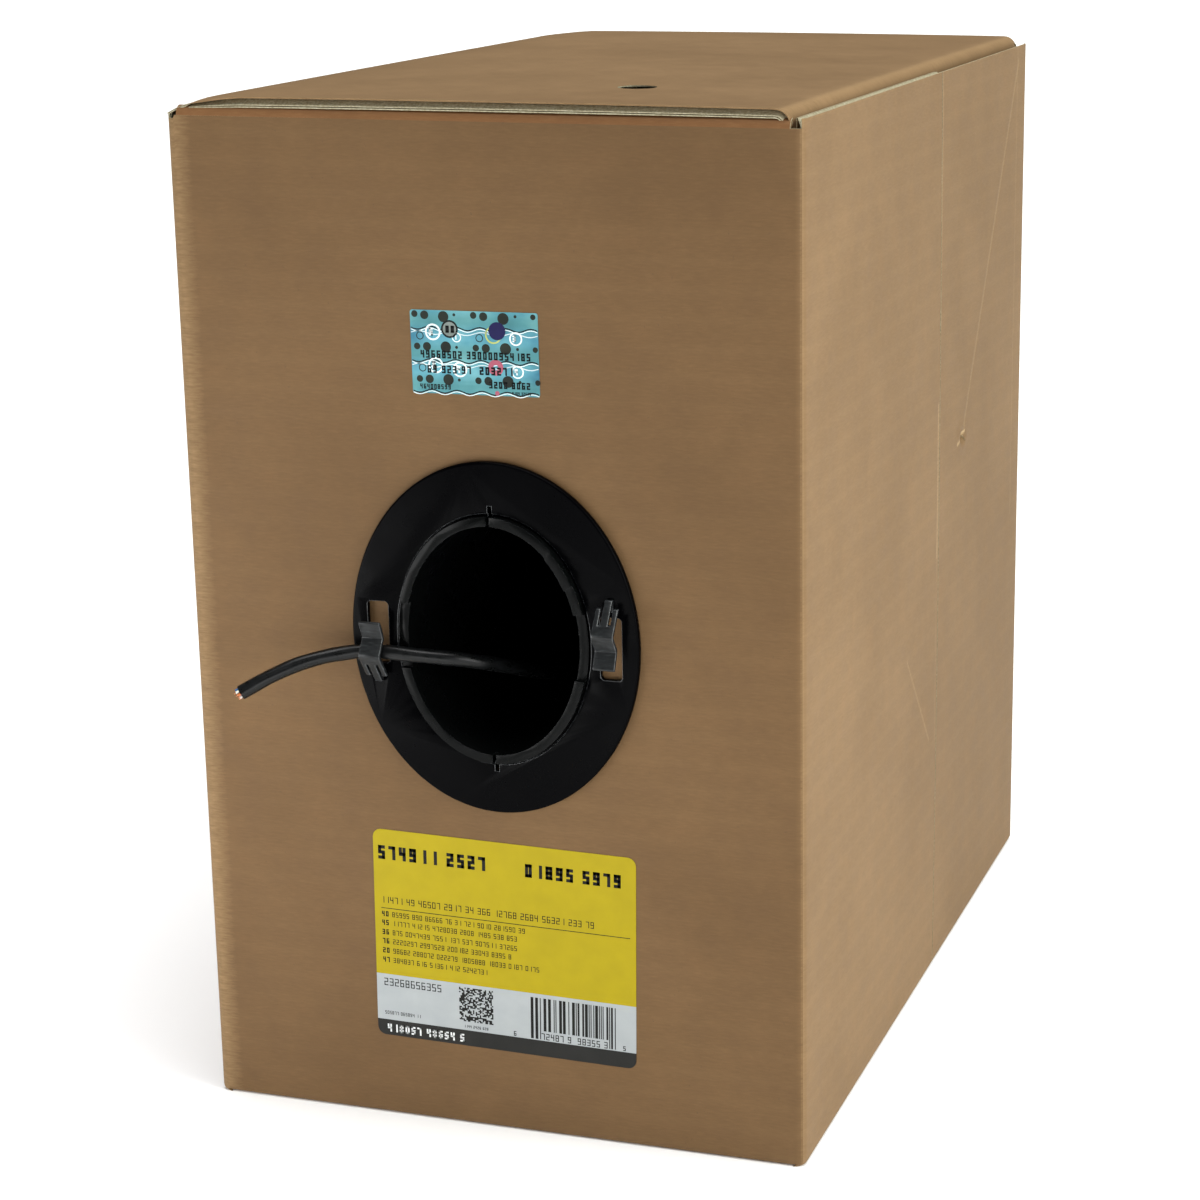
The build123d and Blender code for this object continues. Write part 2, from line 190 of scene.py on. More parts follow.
def segment_mask(m, at, start, end, width):
    """1 on the line between two points, falling to 0 at half a width from it."""
    a, b = Vector(start), Vector(end)
    along = (b - a).normalized()
    away = add(m, "VectorMath", at, operation="SUBTRACT", in_1=a)
    dot = add(m, "VectorMath", [away], operation="DOT_PRODUCT", in_1=along)
    clamped = add(m, "Math", [(0, dot, "Value")], operation="MAXIMUM", in_1=0.0)
    reach = add(m, "Math", [clamped], operation="MINIMUM", in_1=(b - a).length)
    nearest = add(m, "VectorMath", [("Scale", reach, 0)], operation="SCALE", in_0=along)
    offset = add(m, "VectorMath", [away, nearest], operation="DISTANCE")
    return add(m, "MapRange", [("Value", offset, "Value")], interpolation_type="SMOOTHSTEP",
               From_Min=width / 2, From_Max=0.0)


def kraft_liner(name="kraft_liner_unbleached_painted_shade", marks=(), waves=0.035, tint="#ffffff"):
    """Kraft liner: unbleached pulp, calendered. Matt, with long fibres, specks of bark and a faint
    washboard where the flutes press through; rubbed folds and scuffs are paler.

    marks are scuffs: (start, end, width, how pale, depth), as lines on the surface."""
    m, at = new_material(name)
    flat = add(m, "UVMap", uv_map="board")
    # fibres, 0.7 mm wide and about 4.5 mm long
    stretch = add(m, "Mapping", [flat], Scale=(1 / (0.7 * MM), 1 / (4.5 * MM), 1))
    fibres = add(m, "TexNoise", [stretch], Scale=1.0, Detail=5.0, Roughness=0.65)
    # cloudy formation of the pulp, 12 mm
    clouds = add(m, "TexNoise", at, Scale=1 / (12 * MM), Detail=6.0, Roughness=0.6)
    blotches = add(m, "TexNoise", at, Scale=1 / (70 * MM), Detail=4.0)
    base = add(m, "ValToRGB", [clouds], stops=[(0.25, "#785e40"), (0.5, "#7f6545"), (0.75, "#886c4c")])
    tone = add(m, "ValToRGB", [fibres], stops=[(0.3, "#765c3e"), (0.52, "#806546"), (0.75, "#8c7151")])
    mixed = add(m, "MixRGB", [("Color1", base, 0), ("Color2", tone, 0)], blend_type="MIX", Fac=0.45)
    shade = add(m, "ValToRGB", [blotches], stops=[(0.35, "#e9e7e3"), (0.65, "#ffffff")])
    toned = add(m, "MixRGB", [("Color1", mixed, 0), ("Color2", shade, 0)], blend_type="MULTIPLY", Fac=0.7)
    # the tint multiplies the whole colour: the real orange tone of stretched folds, and painted shade on the
    # darker walls
    toned = add(m, "MixRGB", [("Color1", toned, 0)], blend_type="MULTIPLY", Fac=1.0, Color2=linear(tint))
    # bark specks, about 0.5 mm
    specks = add(m, "TexNoise", at, Scale=1 / (1.1 * MM), Detail=2.0)
    speck_mask = add(m, "MapRange", [specks], From_Min=0.7, From_Max=0.8, To_Max=0.7)
    speckled = add(m, "MixRGB", [speck_mask, toned], Color2=linear("#5e4730"))
    # wear and painted highlight, stored on the mesh and broken up along the fibres: rubbed folds and edges
    # are paler, and the lid's roll is paler still, partly from rubbing and partly as painted highlight
    wear = add(m, "Attribute", attribute_name="wear")
    broken = add(m, "Math", [(0, wear, "Fac"), fibres], operation="MULTIPLY")
    wear_and_highlight_amount = add(m, "MapRange", [broken], From_Min=0.1, From_Max=0.6, To_Max=0.8)
    wear_and_highlight_colour = add(m, "MixRGB", [wear_and_highlight_amount, speckled], Color2=linear("#9a7e59"))
    # washboard: one wave for each flute, a few hundredths of a millimetre deep
    across = add(m, "SeparateXYZ", [flat])
    phase = add(m, "Math", [across], operation="MULTIPLY", in_1=2 * math.pi / FLUTE_PITCH)
    wave = add(m, "Math", [phase], operation="SINE")
    patchy = add(m, "Math", [wave, blotches], operation="MULTIPLY")
    ridge = add(m, "MapRange", [patchy], From_Min=0.1, From_Max=0.62, To_Max=waves)
    rubbed = add(m, "MixRGB", [ridge, wear_and_highlight_colour], Color2=linear("#967a56"))
    wave_height = add(m, "Math", [patchy], operation="MULTIPLY", in_1=waves * 4)
    height = add(m, "Math", [wave_height, fibres], operation="ADD")
    relief = add(m, "Math", [height, clouds], operation="ADD")
    colour = rubbed
    for start, end, width, pale, depth in marks:
        mask = segment_mask(m, at, start, end, width)
        ragged = add(m, "Math", [mask, fibres], operation="MULTIPLY")
        amount = add(m, "MapRange", [ragged], From_Min=0.1, From_Max=0.5, To_Max=pale)
        colour = add(m, "MixRGB", [amount, colour], Color2=linear("#b49b74"))
        dent = add(m, "Math", [mask], operation="MULTIPLY", in_1=-depth)
        relief = add(m, "Math", [relief, dent], operation="ADD")
    bump = add(m, "Bump", [("Height", relief, 0)], Strength=0.4, Distance=0.12 * MM)
    rough = add(m, "MapRange", [clouds], To_Min=0.6, To_Max=0.78)
    return surface(m, colour, rough, bump, IOR=1.45, Specular_IOR_Level=0.25)


def moulded_black(name="black_polystyrene_moulded", base="#020203", level=0.03):
    """Moulded high-impact polystyrene: glossy black, faint orange peel, dull rubbed and dusty areas."""
    m, at = new_material(name)
    peel = add(m, "TexNoise", at, Scale=1 / (6 * MM), Detail=2.0)
    smear = add(m, "TexNoise", at, Scale=1 / (22 * MM), Detail=5.0, Roughness=0.6)
    dust = add(m, "TexNoise", at, Scale=1 / (0.9 * MM), Detail=3.0)
    rough = add(m, "MapRange", [smear], From_Min=0.35, From_Max=0.7,
                To_Min=0.2, To_Max=0.42)
    dust_mask = add(m, "MapRange", [dust], From_Min=0.66, From_Max=0.8, To_Max=0.35)
    colour = add(m, "MixRGB", [dust_mask], Color1=linear(base), Color2=linear("#121211"))
    bump = add(m, "Bump", [("Height", peel, 0)], Strength=0.25, Distance=0.15 * MM)
    return surface(m, colour, rough, bump, IOR=1.5, Specular_IOR_Level=level)


def clip_plastic():
    """The clips: the same plastic, drawn grey where it has been flexed and rubbed by cable."""
    m, at = new_material("black_polystyrene_rubbed")
    wide, fine = 1 / (3 * MM), 1 / (0.6 * MM)
    streak = add(m, "Mapping", at, Scale=(wide, wide, fine))
    rub = add(m, "TexNoise", [streak], Scale=1.0, Detail=4.0)
    colour = add(m, "ValToRGB", [rub], stops=[(0.3, "#151617"), (0.6, "#222425"), (0.8, "#343738")])
    bump = add(m, "Bump", [("Height", rub, 0)], Strength=0.2, Distance=0.1 * MM)
    return surface(m, colour, None, bump, Roughness=0.36, IOR=1.5, Specular_IOR_Level=0.2)


def insulation(name, colour):
    """Extruded polyethylene wire insulation: slightly waxy."""
    m, at = new_material("polyethylene_" + name)
    tint = add(m, "TexNoise", at, Scale=1 / (1.5 * MM), Detail=2.0)
    shade = add(m, "ValToRGB", [tint], stops=[(0.3, "#d8d8d8"), (0.7, "#ffffff")])
    mixed = add(m, "MixRGB", [("Color2", shade, 0)], blend_type="MULTIPLY", Fac=1.0,
                Color1=linear(colour))
    return surface(m, mixed, None, None, Roughness=0.4, IOR=1.5, Subsurface_Weight=0.1,
                   Subsurface_Scale=0.5 * MM)


def printed_papers(*rows):
    """Coated label paper under flat printed colours: smooth, with a slight mottle in the ink.

    Each row is (name, dark, light, roughness)."""
    return [mottled("coated_paper_" + name, 7 * MM, 6.0, [(0.3, dark), (0.7, light)], (0.15, 0.1 * MM),
                    Roughness=rough, IOR=1.48, Specular_IOR_Level=0.2) for name, dark, light, rough in rows]


SEAL_BAND_PITCH = 10.6 * MM


def seal_film():
    """Embossed metallised film: teal, greener in level bands, with fine grooves."""
    m, at = new_material("metallised_film_embossed")
    drift = add(m, "TexNoise", at, Scale=1 / (14 * MM), Detail=3.0)
    teal = add(m, "ValToRGB", [drift], stops=[(0.3, "#357288"), (0.5, "#5596a6"), (0.7, "#79b3ba")])
    height = add(m, "SeparateXYZ", at)
    phase = add(m, "Math", [(0, height, "Z")], operation="MULTIPLY", in_1=2 * math.pi / SEAL_BAND_PITCH)
    level = add(m, "Math", [phase], operation="SINE")
    share = add(m, "MapRange", [level], From_Min=-1.0, From_Max=1.0, To_Max=0.55)
    banded = add(m, "MixRGB", [share, teal], Color2=linear("#457c74"))
    grooves = add(m, "TexWave", at, Scale=1 / (5 * MM), Distortion=2.0, Detail=1.0, bands_direction="Z")
    bump = add(m, "Bump", [("Height", grooves, 0)], Strength=0.25, Distance=0.05 * MM)
    return surface(m, banded, None, bump, Metallic=0.45, Roughness=0.32)


def right_wall_point(y, z):
    """A point on the right wall's outer face, from millimetres."""
    return (RIGHT, y * MM, z * MM)


# painted shade: the front, left and back walls, floor flaps, dust flaps and glue lap are tinted darker and
# warmer than the lid and right wall of the same board
KRAFT_PAINTED_SHADE = kraft_liner(tint="#dad3c8")
KRAFT_LID = kraft_liner("kraft_liner_lid", waves=0.0)
KRAFT_FOLD = kraft_liner("kraft_liner_stretched", waves=0.0, tint="#f6dcc8")
KRAFT_RIGHT = kraft_liner("kraft_liner_scuffed", waves=0.09, marks=[
    (right_wall_point(154, 337), right_wall_point(54, 202), 5 * MM, 0.17, 2.5),
    (right_wall_point(152, 343), right_wall_point(152, 150), 4 * MM, 0.09, 1.0),
    (right_wall_point(-33, 136), right_wall_point(3, 96), 3 * MM, 0.25, 0.5),
    (right_wall_point(13.2, 222), right_wall_point(13.0, 165), 4 * MM, 0.42, 1.5),
    (right_wall_point(13.0, 168), right_wall_point(13.0, 90), 3 * MM, 0.14, 1.0),
    (right_wall_point(17.5, 341), right_wall_point(16.2, 250), 3 * MM, 0.2, 1.0),
    (right_wall_point(46, 201), right_wall_point(58, 204), 4 * MM, 0.9, 2.0)])
# cut edge and fluting of the board: semi-chemical pulp, greyer and paler than the liner
FLUTE = mottled("fluting_medium_cut", 0.8 * MM, 4.0, [(0.3, "#8d8468"), (0.55, "#aba387"), (0.8, "#c3bda4")],
                (0.6, 0.2 * MM), Roughness=0.85, IOR=1.4)
BLACK = moulded_black()
TUBE = moulded_black("black_polystyrene_tube", "#060707", 0.075)
CLIP = clip_plastic()
# edges of the mouldings: grey on the bevel faces, painted highlight so that the rims catch the light
PAINTED_EDGE_HIGHLIGHT = mottled("black_polystyrene_edge_painted_highlight", 2 * MM, 4.0, [(0.4, "#202224"), (0.65, "#484b4d")], Roughness=0.22,
               IOR=1.59)
# extruded PVC: black and smooth, with a fine grain and a soft shine
JACKET = mottled("black_pvc_extruded", 2.5 * MM, 3.0, [(0.3, "#090a0a"), (0.7, "#121314")], (0.2, 0.1 * MM),
                 (0.22, 0.36), IOR=1.53, Specular_IOR_Level=0.2)


# ---------------------------------------------------------------- mesh helpers
def make_object(name, vertices, faces, materials, slots=None, smooth=False):
    """A mesh object in the scene; slots are its faces' material numbers."""
    mesh = bpy.data.meshes.new(name)
    mesh.from_pydata([tuple(v) for v in vertices], [], faces)
    for material in materials:
        mesh.materials.append(material)
    if slots:
        mesh.polygons.foreach_set("material_index", slots)
    mesh.polygons.foreach_set("use_smooth", [smooth] * len(mesh.polygons))
    mesh.update()
    thing = bpy.data.objects.new(name, mesh)
    bpy.context.scene.collection.objects.link(thing)
    return thing


def apply_modifiers(thing):
    """Puts the modifiers' result in place of the mesh."""
    depsgraph = bpy.context.evaluated_depsgraph_get()
    mesh = bpy.data.meshes.new_from_object(thing.evaluated_get(depsgraph))
    thing.modifiers.clear()
    old = thing.data
    thing.data = mesh
    bpy.data.meshes.remove(old)


def copy_of_node(node, name, bevel, materials, angle=30.0, segments=2):
    """A new piece with the shape of a CAD node, its sharp edges broken by a small bevel."""
    mesh = frame["nodes"][node].data.copy()
    mesh.materials.clear()
    for material in materials:
        mesh.materials.append(material)
    thing = bpy.data.objects.new(name, mesh)
    bpy.context.scene.collection.objects.link(thing)
    work = bmesh.new()
    work.from_mesh(mesh)
    bmesh.ops.remove_doubles(work, verts=work.verts, dist=0.002 * MM)
    bmesh.ops.dissolve_limit(work, angle_limit=math.radians(0.5), verts=work.verts, edges=work.edges)
    work.to_mesh(mesh)
    work.free()
    modifier = thing.modifiers.new("bevel", "BEVEL")
    modifier.width = bevel
    modifier.segments = segments
    modifier.limit_method = "ANGLE"
    modifier.angle_limit = math.radians(angle)
    modifier.harden_normals = True
    # the bevel faces take the second material: on the mouldings, the painted edge highlight
    modifier.material = 1
    mesh.polygons.foreach_set("use_smooth", [True] * len(mesh.polygons))
    apply_modifiers(thing)
    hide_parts(node)
    return thing


def divided(start, end, step):
    """Numbers from start to end, no more than step apart."""
    count = max(1, math.ceil(abs(end - start) / step - 1e-9))
    return [start + (end - start) * i / count for i in range(count + 1)]


# ---------------------------------------------------------------- corrugated board
LINER = 0.38 * MM
MEDIUM = 0.24 * MM


class Board:
    """Corrugated board that follows a path and runs straight along one axis.

    path: points (a, b) of the outer face, in the plane left by the axis, with the board on its left.
    wave: "path" when the flutes run along the axis, "axis" when they run along the path.
    """

    def __init__(self, name, path, axis, low, high, wave, thickness=BOARD, bulge=None, wear=None,
                 phase=0.0, edge=1):
        self.name, self.axis, self.wave, self.bulge = name, axis, wave, bulge
        self.thickness, self.wear, self.phase, self.edge = thickness, wear, phase, edge
        self.low, self.high = low, high
        self.points = [Vector(p) for p in path]
        self.stations = [0.0]
        for a, b in zip(self.points, self.points[1:]):
            self.stations.append(self.stations[-1] + (b - a).length)
        self.inward = []
        for i in range(len(self.points)):
            before = self.points[max(i - 1, 0)]
            after = self.points[min(i + 1, len(self.points) - 1)]
            along = (after - before).normalized()
            self.inward.append(Vector((-along.y, along.x)))
        self.vertices, self.faces, self.slots, self.uvs = [], [], [], []

    def at(self, s, v, depth):
        """The point at path length s, axis position v, and this depth below the outer face."""
        i = 0
        while i < len(self.stations) - 2 and s > self.stations[i + 1]:
            i += 1
        share = (s - self.stations[i]) / (self.stations[i + 1] - self.stations[i])
        flat = self.points[i].lerp(self.points[i + 1], share)
        inward = self.inward[i].lerp(self.inward[i + 1], share).normalized()
        a, b = flat + inward * depth
        place = Vector({"X": (v, a, b), "Y": (a, v, b), "Z": (a, b, v)}[self.axis])
        return self.bulge(place) if self.bulge else place

    def sheet(self, path_steps, axis_steps, top, bottom, slot, edge=1):
        """A closed sheet between two depths, each a function of (s, v), with edge as its rim's material."""
        first = len(self.vertices)
        rows, columns = len(path_steps), len(axis_steps)
        for depth in (top, bottom):
            for s in path_steps:
                for v in axis_steps:
                    self.vertices.append(self.at(s, v, depth(s, v)))
                    self.uvs.append((s, v) if self.wave == "path" else (v, s))
        under = first + rows * columns

        def quad(a, b, c, d, kind):
            self.faces.append((a, b, c, d))
            self.slots.append(kind)

        for i in range(rows - 1):
            for j in range(columns - 1):
                a = first + i * columns + j
                quad(a, a + 1, a + columns + 1, a + columns, slot)
                b = under + i * columns + j
                quad(b, b + columns, b + columns + 1, b + 1, slot)
            for j, flip in ((0, False), (columns - 1, True)):
                a, b = first + i * columns + j, under + i * columns + j
                face = (a, a + columns, b + columns, b)
                quad(*(face[::-1] if flip else face), edge)
        for j in range(columns - 1):
            for i, flip in ((0, True), (rows - 1, False)):
                a, b = first + i * columns + j, under + i * columns + j
                face = (a, a + 1, b + 1, b)
                quad(*(face[::-1] if flip else face), edge)

    def build(self, liner, step=7 * MM, extra_path=(), extra_axis=()):
        """Two liners and the fluted medium between them, as one piece."""
        bends = sorted(set(self.stations) | set(extra_path))
        turns = sorted({self.low, self.high} | set(extra_axis))
        path_steps = sorted({round(s, 7) for a, b in zip(bends, bends[1:]) for s in divided(a, b, step)})
        axis_steps = sorted({round(v, 7) for a, b in zip(turns, turns[1:]) for v in divided(a, b, step)})
        thick = self.thickness
        swing = thick / 2 - LINER - MEDIUM / 2

        def flute(s, v):
            position = (s if self.wave == "path" else v) + self.phase
            return thick / 2 + swing * math.sin(2 * math.pi * position / FLUTE_PITCH)

        self.sheet(path_steps, axis_steps, lambda s, v: 0.0, lambda s, v: LINER, 0, self.edge)
        self.sheet(path_steps, axis_steps, lambda s, v: thick - LINER, lambda s, v: thick, 0)
        fine = FLUTE_PITCH / 8
        if self.wave == "path":
            path_steps = divided(0.0, self.stations[-1], fine)
        else:
            axis_steps = divided(self.low, self.high, fine)
        self.sheet(path_steps, axis_steps, lambda s, v: flute(s, v) - MEDIUM / 2,
                   lambda s, v: flute(s, v) + MEDIUM / 2, 1)
        thing = make_object(self.name, self.vertices, self.faces, [liner, FLUTE], self.slots, smooth=True)
        mesh = thing.data
        layer = mesh.uv_layers.new(name="board")
        for loop in mesh.loops:
            layer.data[loop.index].uv = self.uvs[loop.vertex_index]
        wear = mesh.attributes.new("wear", "FLOAT", "POINT")
        wear.data.foreach_set("value", [self.wear(v.co) if self.wear else 0.0 for v in mesh.vertices])
        mesh.set_sharp_from_angle(angle=math.radians(40))
        return thing


def arc(centre, radius, start, end, count=6):
    """Points on an arc, in degrees from the first axis towards the second."""
    angles = [math.radians(start + (end - start) * i / count) for i in range(count + 1)]
    return [(centre[0] + radius * math.cos(a), centre[1] + radius * math.sin(a)) for a in angles]


def around(count):
    """Equal steps of a full turn."""
    return [2 * math.pi * i / count for i in range(count)]


def cut(thing, cutters):
    """Cuts solids out of a piece; the cut faces show the fluting's pulp."""
    for cutter in cutters:
        modifier = thing.modifiers.new("cut", "BOOLEAN")
        modifier.object = cutter
        modifier.operation = "DIFFERENCE"
        modifier.solver = "EXACT"
    apply_modifiers(thing)
    for cutter in cutters:
        bpy.data.objects.remove(cutter)


def prism(name, outline, low, high, axis):
    """A closed prism: an outline of (a, b) points, counterclockwise about the axis, between two heights."""
    count = len(outline)
    vertices = []
    for height in (low, high):
        for a, b in outline:
            vertices.append({"X": (height, a, b), "Y": (b, height, a), "Z": (a, b, height)}[axis])
    faces = [tuple(range(count))[::-1], tuple(range(count, 2 * count))]
    faces += [(i, (i + 1) % count, count + (i + 1) % count, count + i) for i in range(count)]
    return make_object(name, vertices, faces, [FLUTE, FLUTE])


CORNER = 3.1 * MM  # outside radius of the carton's upright folds
DUST_FOLD = 3.0 * MM  # outside radius of the folds at the top of the front and back walls
FLOOR_FOLD = 2.0 * MM  # outside radius of the folds at the bottom


def hump(value, low, high):
    """1 in the middle of a span and 0 at its ends."""
    share = min(max((value - low) / (high - low), 0.0), 1.0)
    return 1 - (2 * share - 1) ** 2


LID_FLUTE_PHASE = 1.25 * MM  # puts the medium low at the lid's front edge, under a dark gap
HINGE_SIDE_RISE = 1.7 * MM
TORN_Y, TORN_Z = 54 * MM, 202 * MM  # on the right wall, where the liner is torn and pushed in
LEFT_SPREAD = 3.6 * MM  # how far the filled carton's left wall has been pushed outwards
FOLD_CRUSH = 0.42  # the board's thickness at the lid's fold, as a share


def swell(place):
    """The full carton stands a little taller on its hinge side: how far a point there is lifted."""
    share = min(1.0, max(0.0, (place.z - (WALL_TOP - 40 * MM)) / (40 * MM)))
    return HINGE_SIDE_RISE * share * (RIGHT - place.x) / (RIGHT - LEFT)


def top_shape(place):
    """The dust flaps and their folds lie as high as the walls they are joined to."""
    return place + Vector((0, 0, swell(place)))


def wall_shape(place):
    """The side and back walls bow by about a millimetre; the bottom edge is rounded where it folds."""
    moved = top_shape(place)
    middle = hump(place.z, 0, WALL_TOP)
    if place.x < LEFT + BOARD and place.z > WALL_TOP - 20 * MM:
        # the corner by the hinge has sunk
        share = (place.z - (WALL_TOP - 20 * MM)) / (20 * MM)
        moved.z -= 1.2 * MM * share * math.exp(-((place.y - FRONT) / (6 * MM)) ** 2)
    if place.x < 0:
        moved.x -= LEFT_SPREAD * (place.x / LEFT) ** 3 * (1 - 0.3 * place.z / WALL_TOP)
    if place.y > BACK - 2 * BOARD:
        moved.y += 1.0 * MM * middle * hump(place.x, LEFT, RIGHT)
    elif place.x < LEFT + 2 * BOARD:
        moved.x -= 1.2 * MM * middle * hump(place.y, FRONT, BACK)
    elif place.x > RIGHT - 2 * BOARD:
        moved.x += 0.6 * MM * middle * hump(place.y, FRONT, BACK)
        # torn spot: the liner is pushed in and its rim stands up
        away = math.hypot(place.y - TORN_Y, (place.z - TORN_Z) * 1.6)
        moved.x += -1.6 * MM * math.exp(-(away / (3.2 * MM)) ** 2) + 0.5 * MM * math.exp(
            -((away - 6 * MM) / (2.0 * MM)) ** 2)
    if place.z < FLOOR_FOLD:
        rise = 1 - place.z / FLOOR_FOLD
        pull = FLOOR_FOLD * (1 - math.sqrt(max(0.0, 1 - rise * rise))) * 0.8
        if abs(place.y - FRONT) < BOARD and abs(place.x) < RIGHT - BOARD:
            moved.y += pull
        elif abs(place.y - BACK) < BOARD and abs(place.x) < RIGHT - BOARD:
            moved.y -= pull
        else:
            moved.x -= math.copysign(pull, place.x)
    return moved


def corner_wear(place):
    """Folds and outer edges are rubbed."""
    reach = 1.5 * MM
    near = 0.0
    if place.x < LEFT + reach or place.x > RIGHT - reach:
        near = max(near, 1 - min(place.y - FRONT, BACK - place.y) / reach)
    if place.y < FRONT + reach or place.y > BACK - reach:
        near = max(near, 1 - min(place.x - LEFT, RIGHT - place.x) / reach)
    near = max(near, 1 - place.z / reach, 0.5 * (1 - abs(WALL_TOP - place.z) / reach))
    return min(max(near, 0.0), 1.0) * 0.75


def plan_corner(x, y, start, count=5):
    """Half of an upright fold's outline: an eighth of a turn from angle start."""
    centre = (x - math.copysign(CORNER, x), y - math.copysign(CORNER, y))
    return arc(centre, CORNER, start, start + 45, count)


def wall(name, path, top, node, liner=KRAFT_PAINTED_SHADE, **more):
    """An upright wall of the carton from the floor to top, standing for a CAD node."""
    board = Board(name, path, "Z", 0, top, "axis", bulge=wall_shape, wear=corner_wear)
    thing = board.build(liner, extra_axis=[0.5 * MM, 1 * MM, 1.5 * MM, 2 * MM, top - 2 * MM] +
                        more.pop("extra_axis", []), **more)
    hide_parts(node)
    return thing


def build_walls():
    """The four walls, with their halves of the upright folds, and the glue lap."""
    low_top = WALL_TOP - DUST_FOLD
    front = wall("front_wall_board", plan_corner(LEFT, FRONT, 225) + plan_corner(RIGHT, FRONT, 270), low_top,
                 "front_wall")
    half_z, half_x = TUBE_HALF_Z + SLIT_REACH, TUBE_HALF_X + 0.7 * MM
    oval = [(OVAL.z + half_z * math.cos(t), OVAL.x + half_x * math.sin(t)) for t in around(72)]
    cut(front, [prism("oval_cutter", oval, FRONT - 5 * MM, FRONT + 8 * MM, "Y")])
    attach(front, "carton")
    back = wall("back_wall_board", plan_corner(RIGHT, BACK, 45) + plan_corner(LEFT, BACK, 90), low_top,
                "back_wall")
    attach(back, "carton")
    left = wall("left_wall_board", plan_corner(LEFT, BACK, 135) + plan_corner(LEFT, FRONT, 180),
                HINGE_TOP - HINGE_SIDE_FOLD, "left_wall")
    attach(left, "carton")
    gap = 0.3 * MM
    right_front = plan_corner(RIGHT, FRONT, 315) + [(RIGHT, JOINT_Y - gap)]
    near = wall("right_wall_front_board", right_front, WALL_TOP, "right_wall_front", KRAFT_RIGHT)
    low, high = 249 * MM, 257.5 * MM  # a short slit beside the joint
    slit = prism("slit_cutter", [(JOINT_Y - 1.1 * MM, low), (JOINT_Y + 1 * MM, low),
                                 (JOINT_Y + 1 * MM, high), (JOINT_Y - 0.9 * MM, high)],
                 RIGHT - 2.6 * MM, RIGHT + 3 * MM, "X")
    cut(near, [slit])
    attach(near, "carton")
    right_rear = [(RIGHT, JOINT_Y + gap)] + plan_corner(RIGHT, BACK, 0)
    base = JOINT_Y + gap
    rear = wall("right_wall_rear_board", right_rear, WALL_TOP, "right_wall_rear", KRAFT_RIGHT,
                extra_path=[(y * MM - base) for y in (44, 46.5, 48.5, 50, 51.5, 53, 54.5, 56, 58, 60.5, 64)],
                extra_axis=[z * MM for z in (192, 194.5, 196.5, 198.5, 200, 201.5, 203, 205, 207, 210)])
    tear = prism("tear_cutter", [(49.0 * MM, 203.2 * MM), (54.5 * MM, 201.0 * MM), (58.5 * MM, 200.2 * MM),
                                 (57.0 * MM, 202.2 * MM), (54.0 * MM, 202.6 * MM)],
                 RIGHT - 2.7 * MM, RIGHT + 3 * MM, "X")
    cut(rear, [tear])
    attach(rear, "carton")
    lap = Board("glue_lap_board", [(lap_high.x, lap_low.y), (lap_high.x, lap_high.y)], "Z", lap_low.z,
                lap_high.z, "axis").build(KRAFT_PAINTED_SHADE)
    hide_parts("glue_lap")
    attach(lap, "carton")


def build_floor_flaps():
    """Left and right flaps outside, front and rear flaps on them."""
    for node, axis in (("bottom_flap_left", "X"), ("bottom_flap_right", "X"), ("bottom_flap_front", "Y"),
                       ("bottom_flap_rear", "Y")):
        low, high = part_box(node)
        if axis == "X":
            path, ends = [(low.x, low.z), (high.x, low.z)], (low.y, high.y)
        else:
            path, ends = [(low.y, low.z), (high.y, low.z)], (low.x, high.x)
        board = Board(node + "_board", path, "Y" if axis == "X" else "X", ends[0], ends[1], "path")
        thing = board.build(KRAFT_PAINTED_SHADE, step=12 * MM)
        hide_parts(node)
        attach(thing, "carton")


def lid_shape(place):
    """The lid is slightly domed, is crushed thin along its fold, and has sunk at the fold's front end."""
    moved = place.copy()
    dome = hump(place.x, lid_low.x, tuck_high.x) ** 0.7 * (0.35 + 0.65 * hump(place.y, lid_low.y, lid_high.y))
    under = lid_low.z
    if place.z > under - 8 * MM:
        near = min(1.0, max(0.0, (LEFT + 24 * MM - place.x) / (20 * MM)))
        if place.z > under - 0.1 * MM:
            moved.z = under + (place.z - under) * (1 - (1 - FOLD_CRUSH) * near ** 1.5)
        share = min(1.0, (place.z - (under - 8 * MM)) / (11 * MM))
        moved.z += (1.3 * MM * dome - 0.3 * MM) * share
        corner = near * math.exp(-((place.y - lid_low.y) / (14 * MM)) ** 2)
        moved.x += 3.5 * MM * corner * share
        moved.z -= 0.4 * MM * corner * share
        moved.z += swell(place) * share
    return moved


def fold_shape(place):
    """The lid's fold sinks with the lid at its front end."""
    moved = place.copy()
    share = min(1.0, max(0.0, (place.z - (HINGE_TOP - HINGE_SIDE_FOLD)) / HINGE_SIDE_FOLD))
    corner = math.exp(-((place.y - lid_low.y) / (14 * MM)) ** 2)
    moved.x += 3.5 * MM * corner * share
    moved.x -= 0.7 * LEFT_SPREAD * (1 - share)
    moved.z += swell(place) - (0.3 * MM + 0.4 * MM * corner) * share - 1.0 * MM * (1 - share) * corner
    return moved


def lid_wear_and_roll_highlight(place):
    """The roll at the tuck flap is rubbed and painted paler as a highlight; the cut edges are rubbed."""
    # a broad pale band along the roll: partly rubbing of the fold, partly painted highlight
    roll = 1 - abs(place.x - (tuck_high.x - 3 * MM)) / (4 * MM)
    edge = 1 - min(place.y - lid_low.y, lid_high.y - place.y) / (2 * MM)
    return min(max(0.75 * roll, 0.5 * edge, 0.0), 1.0)


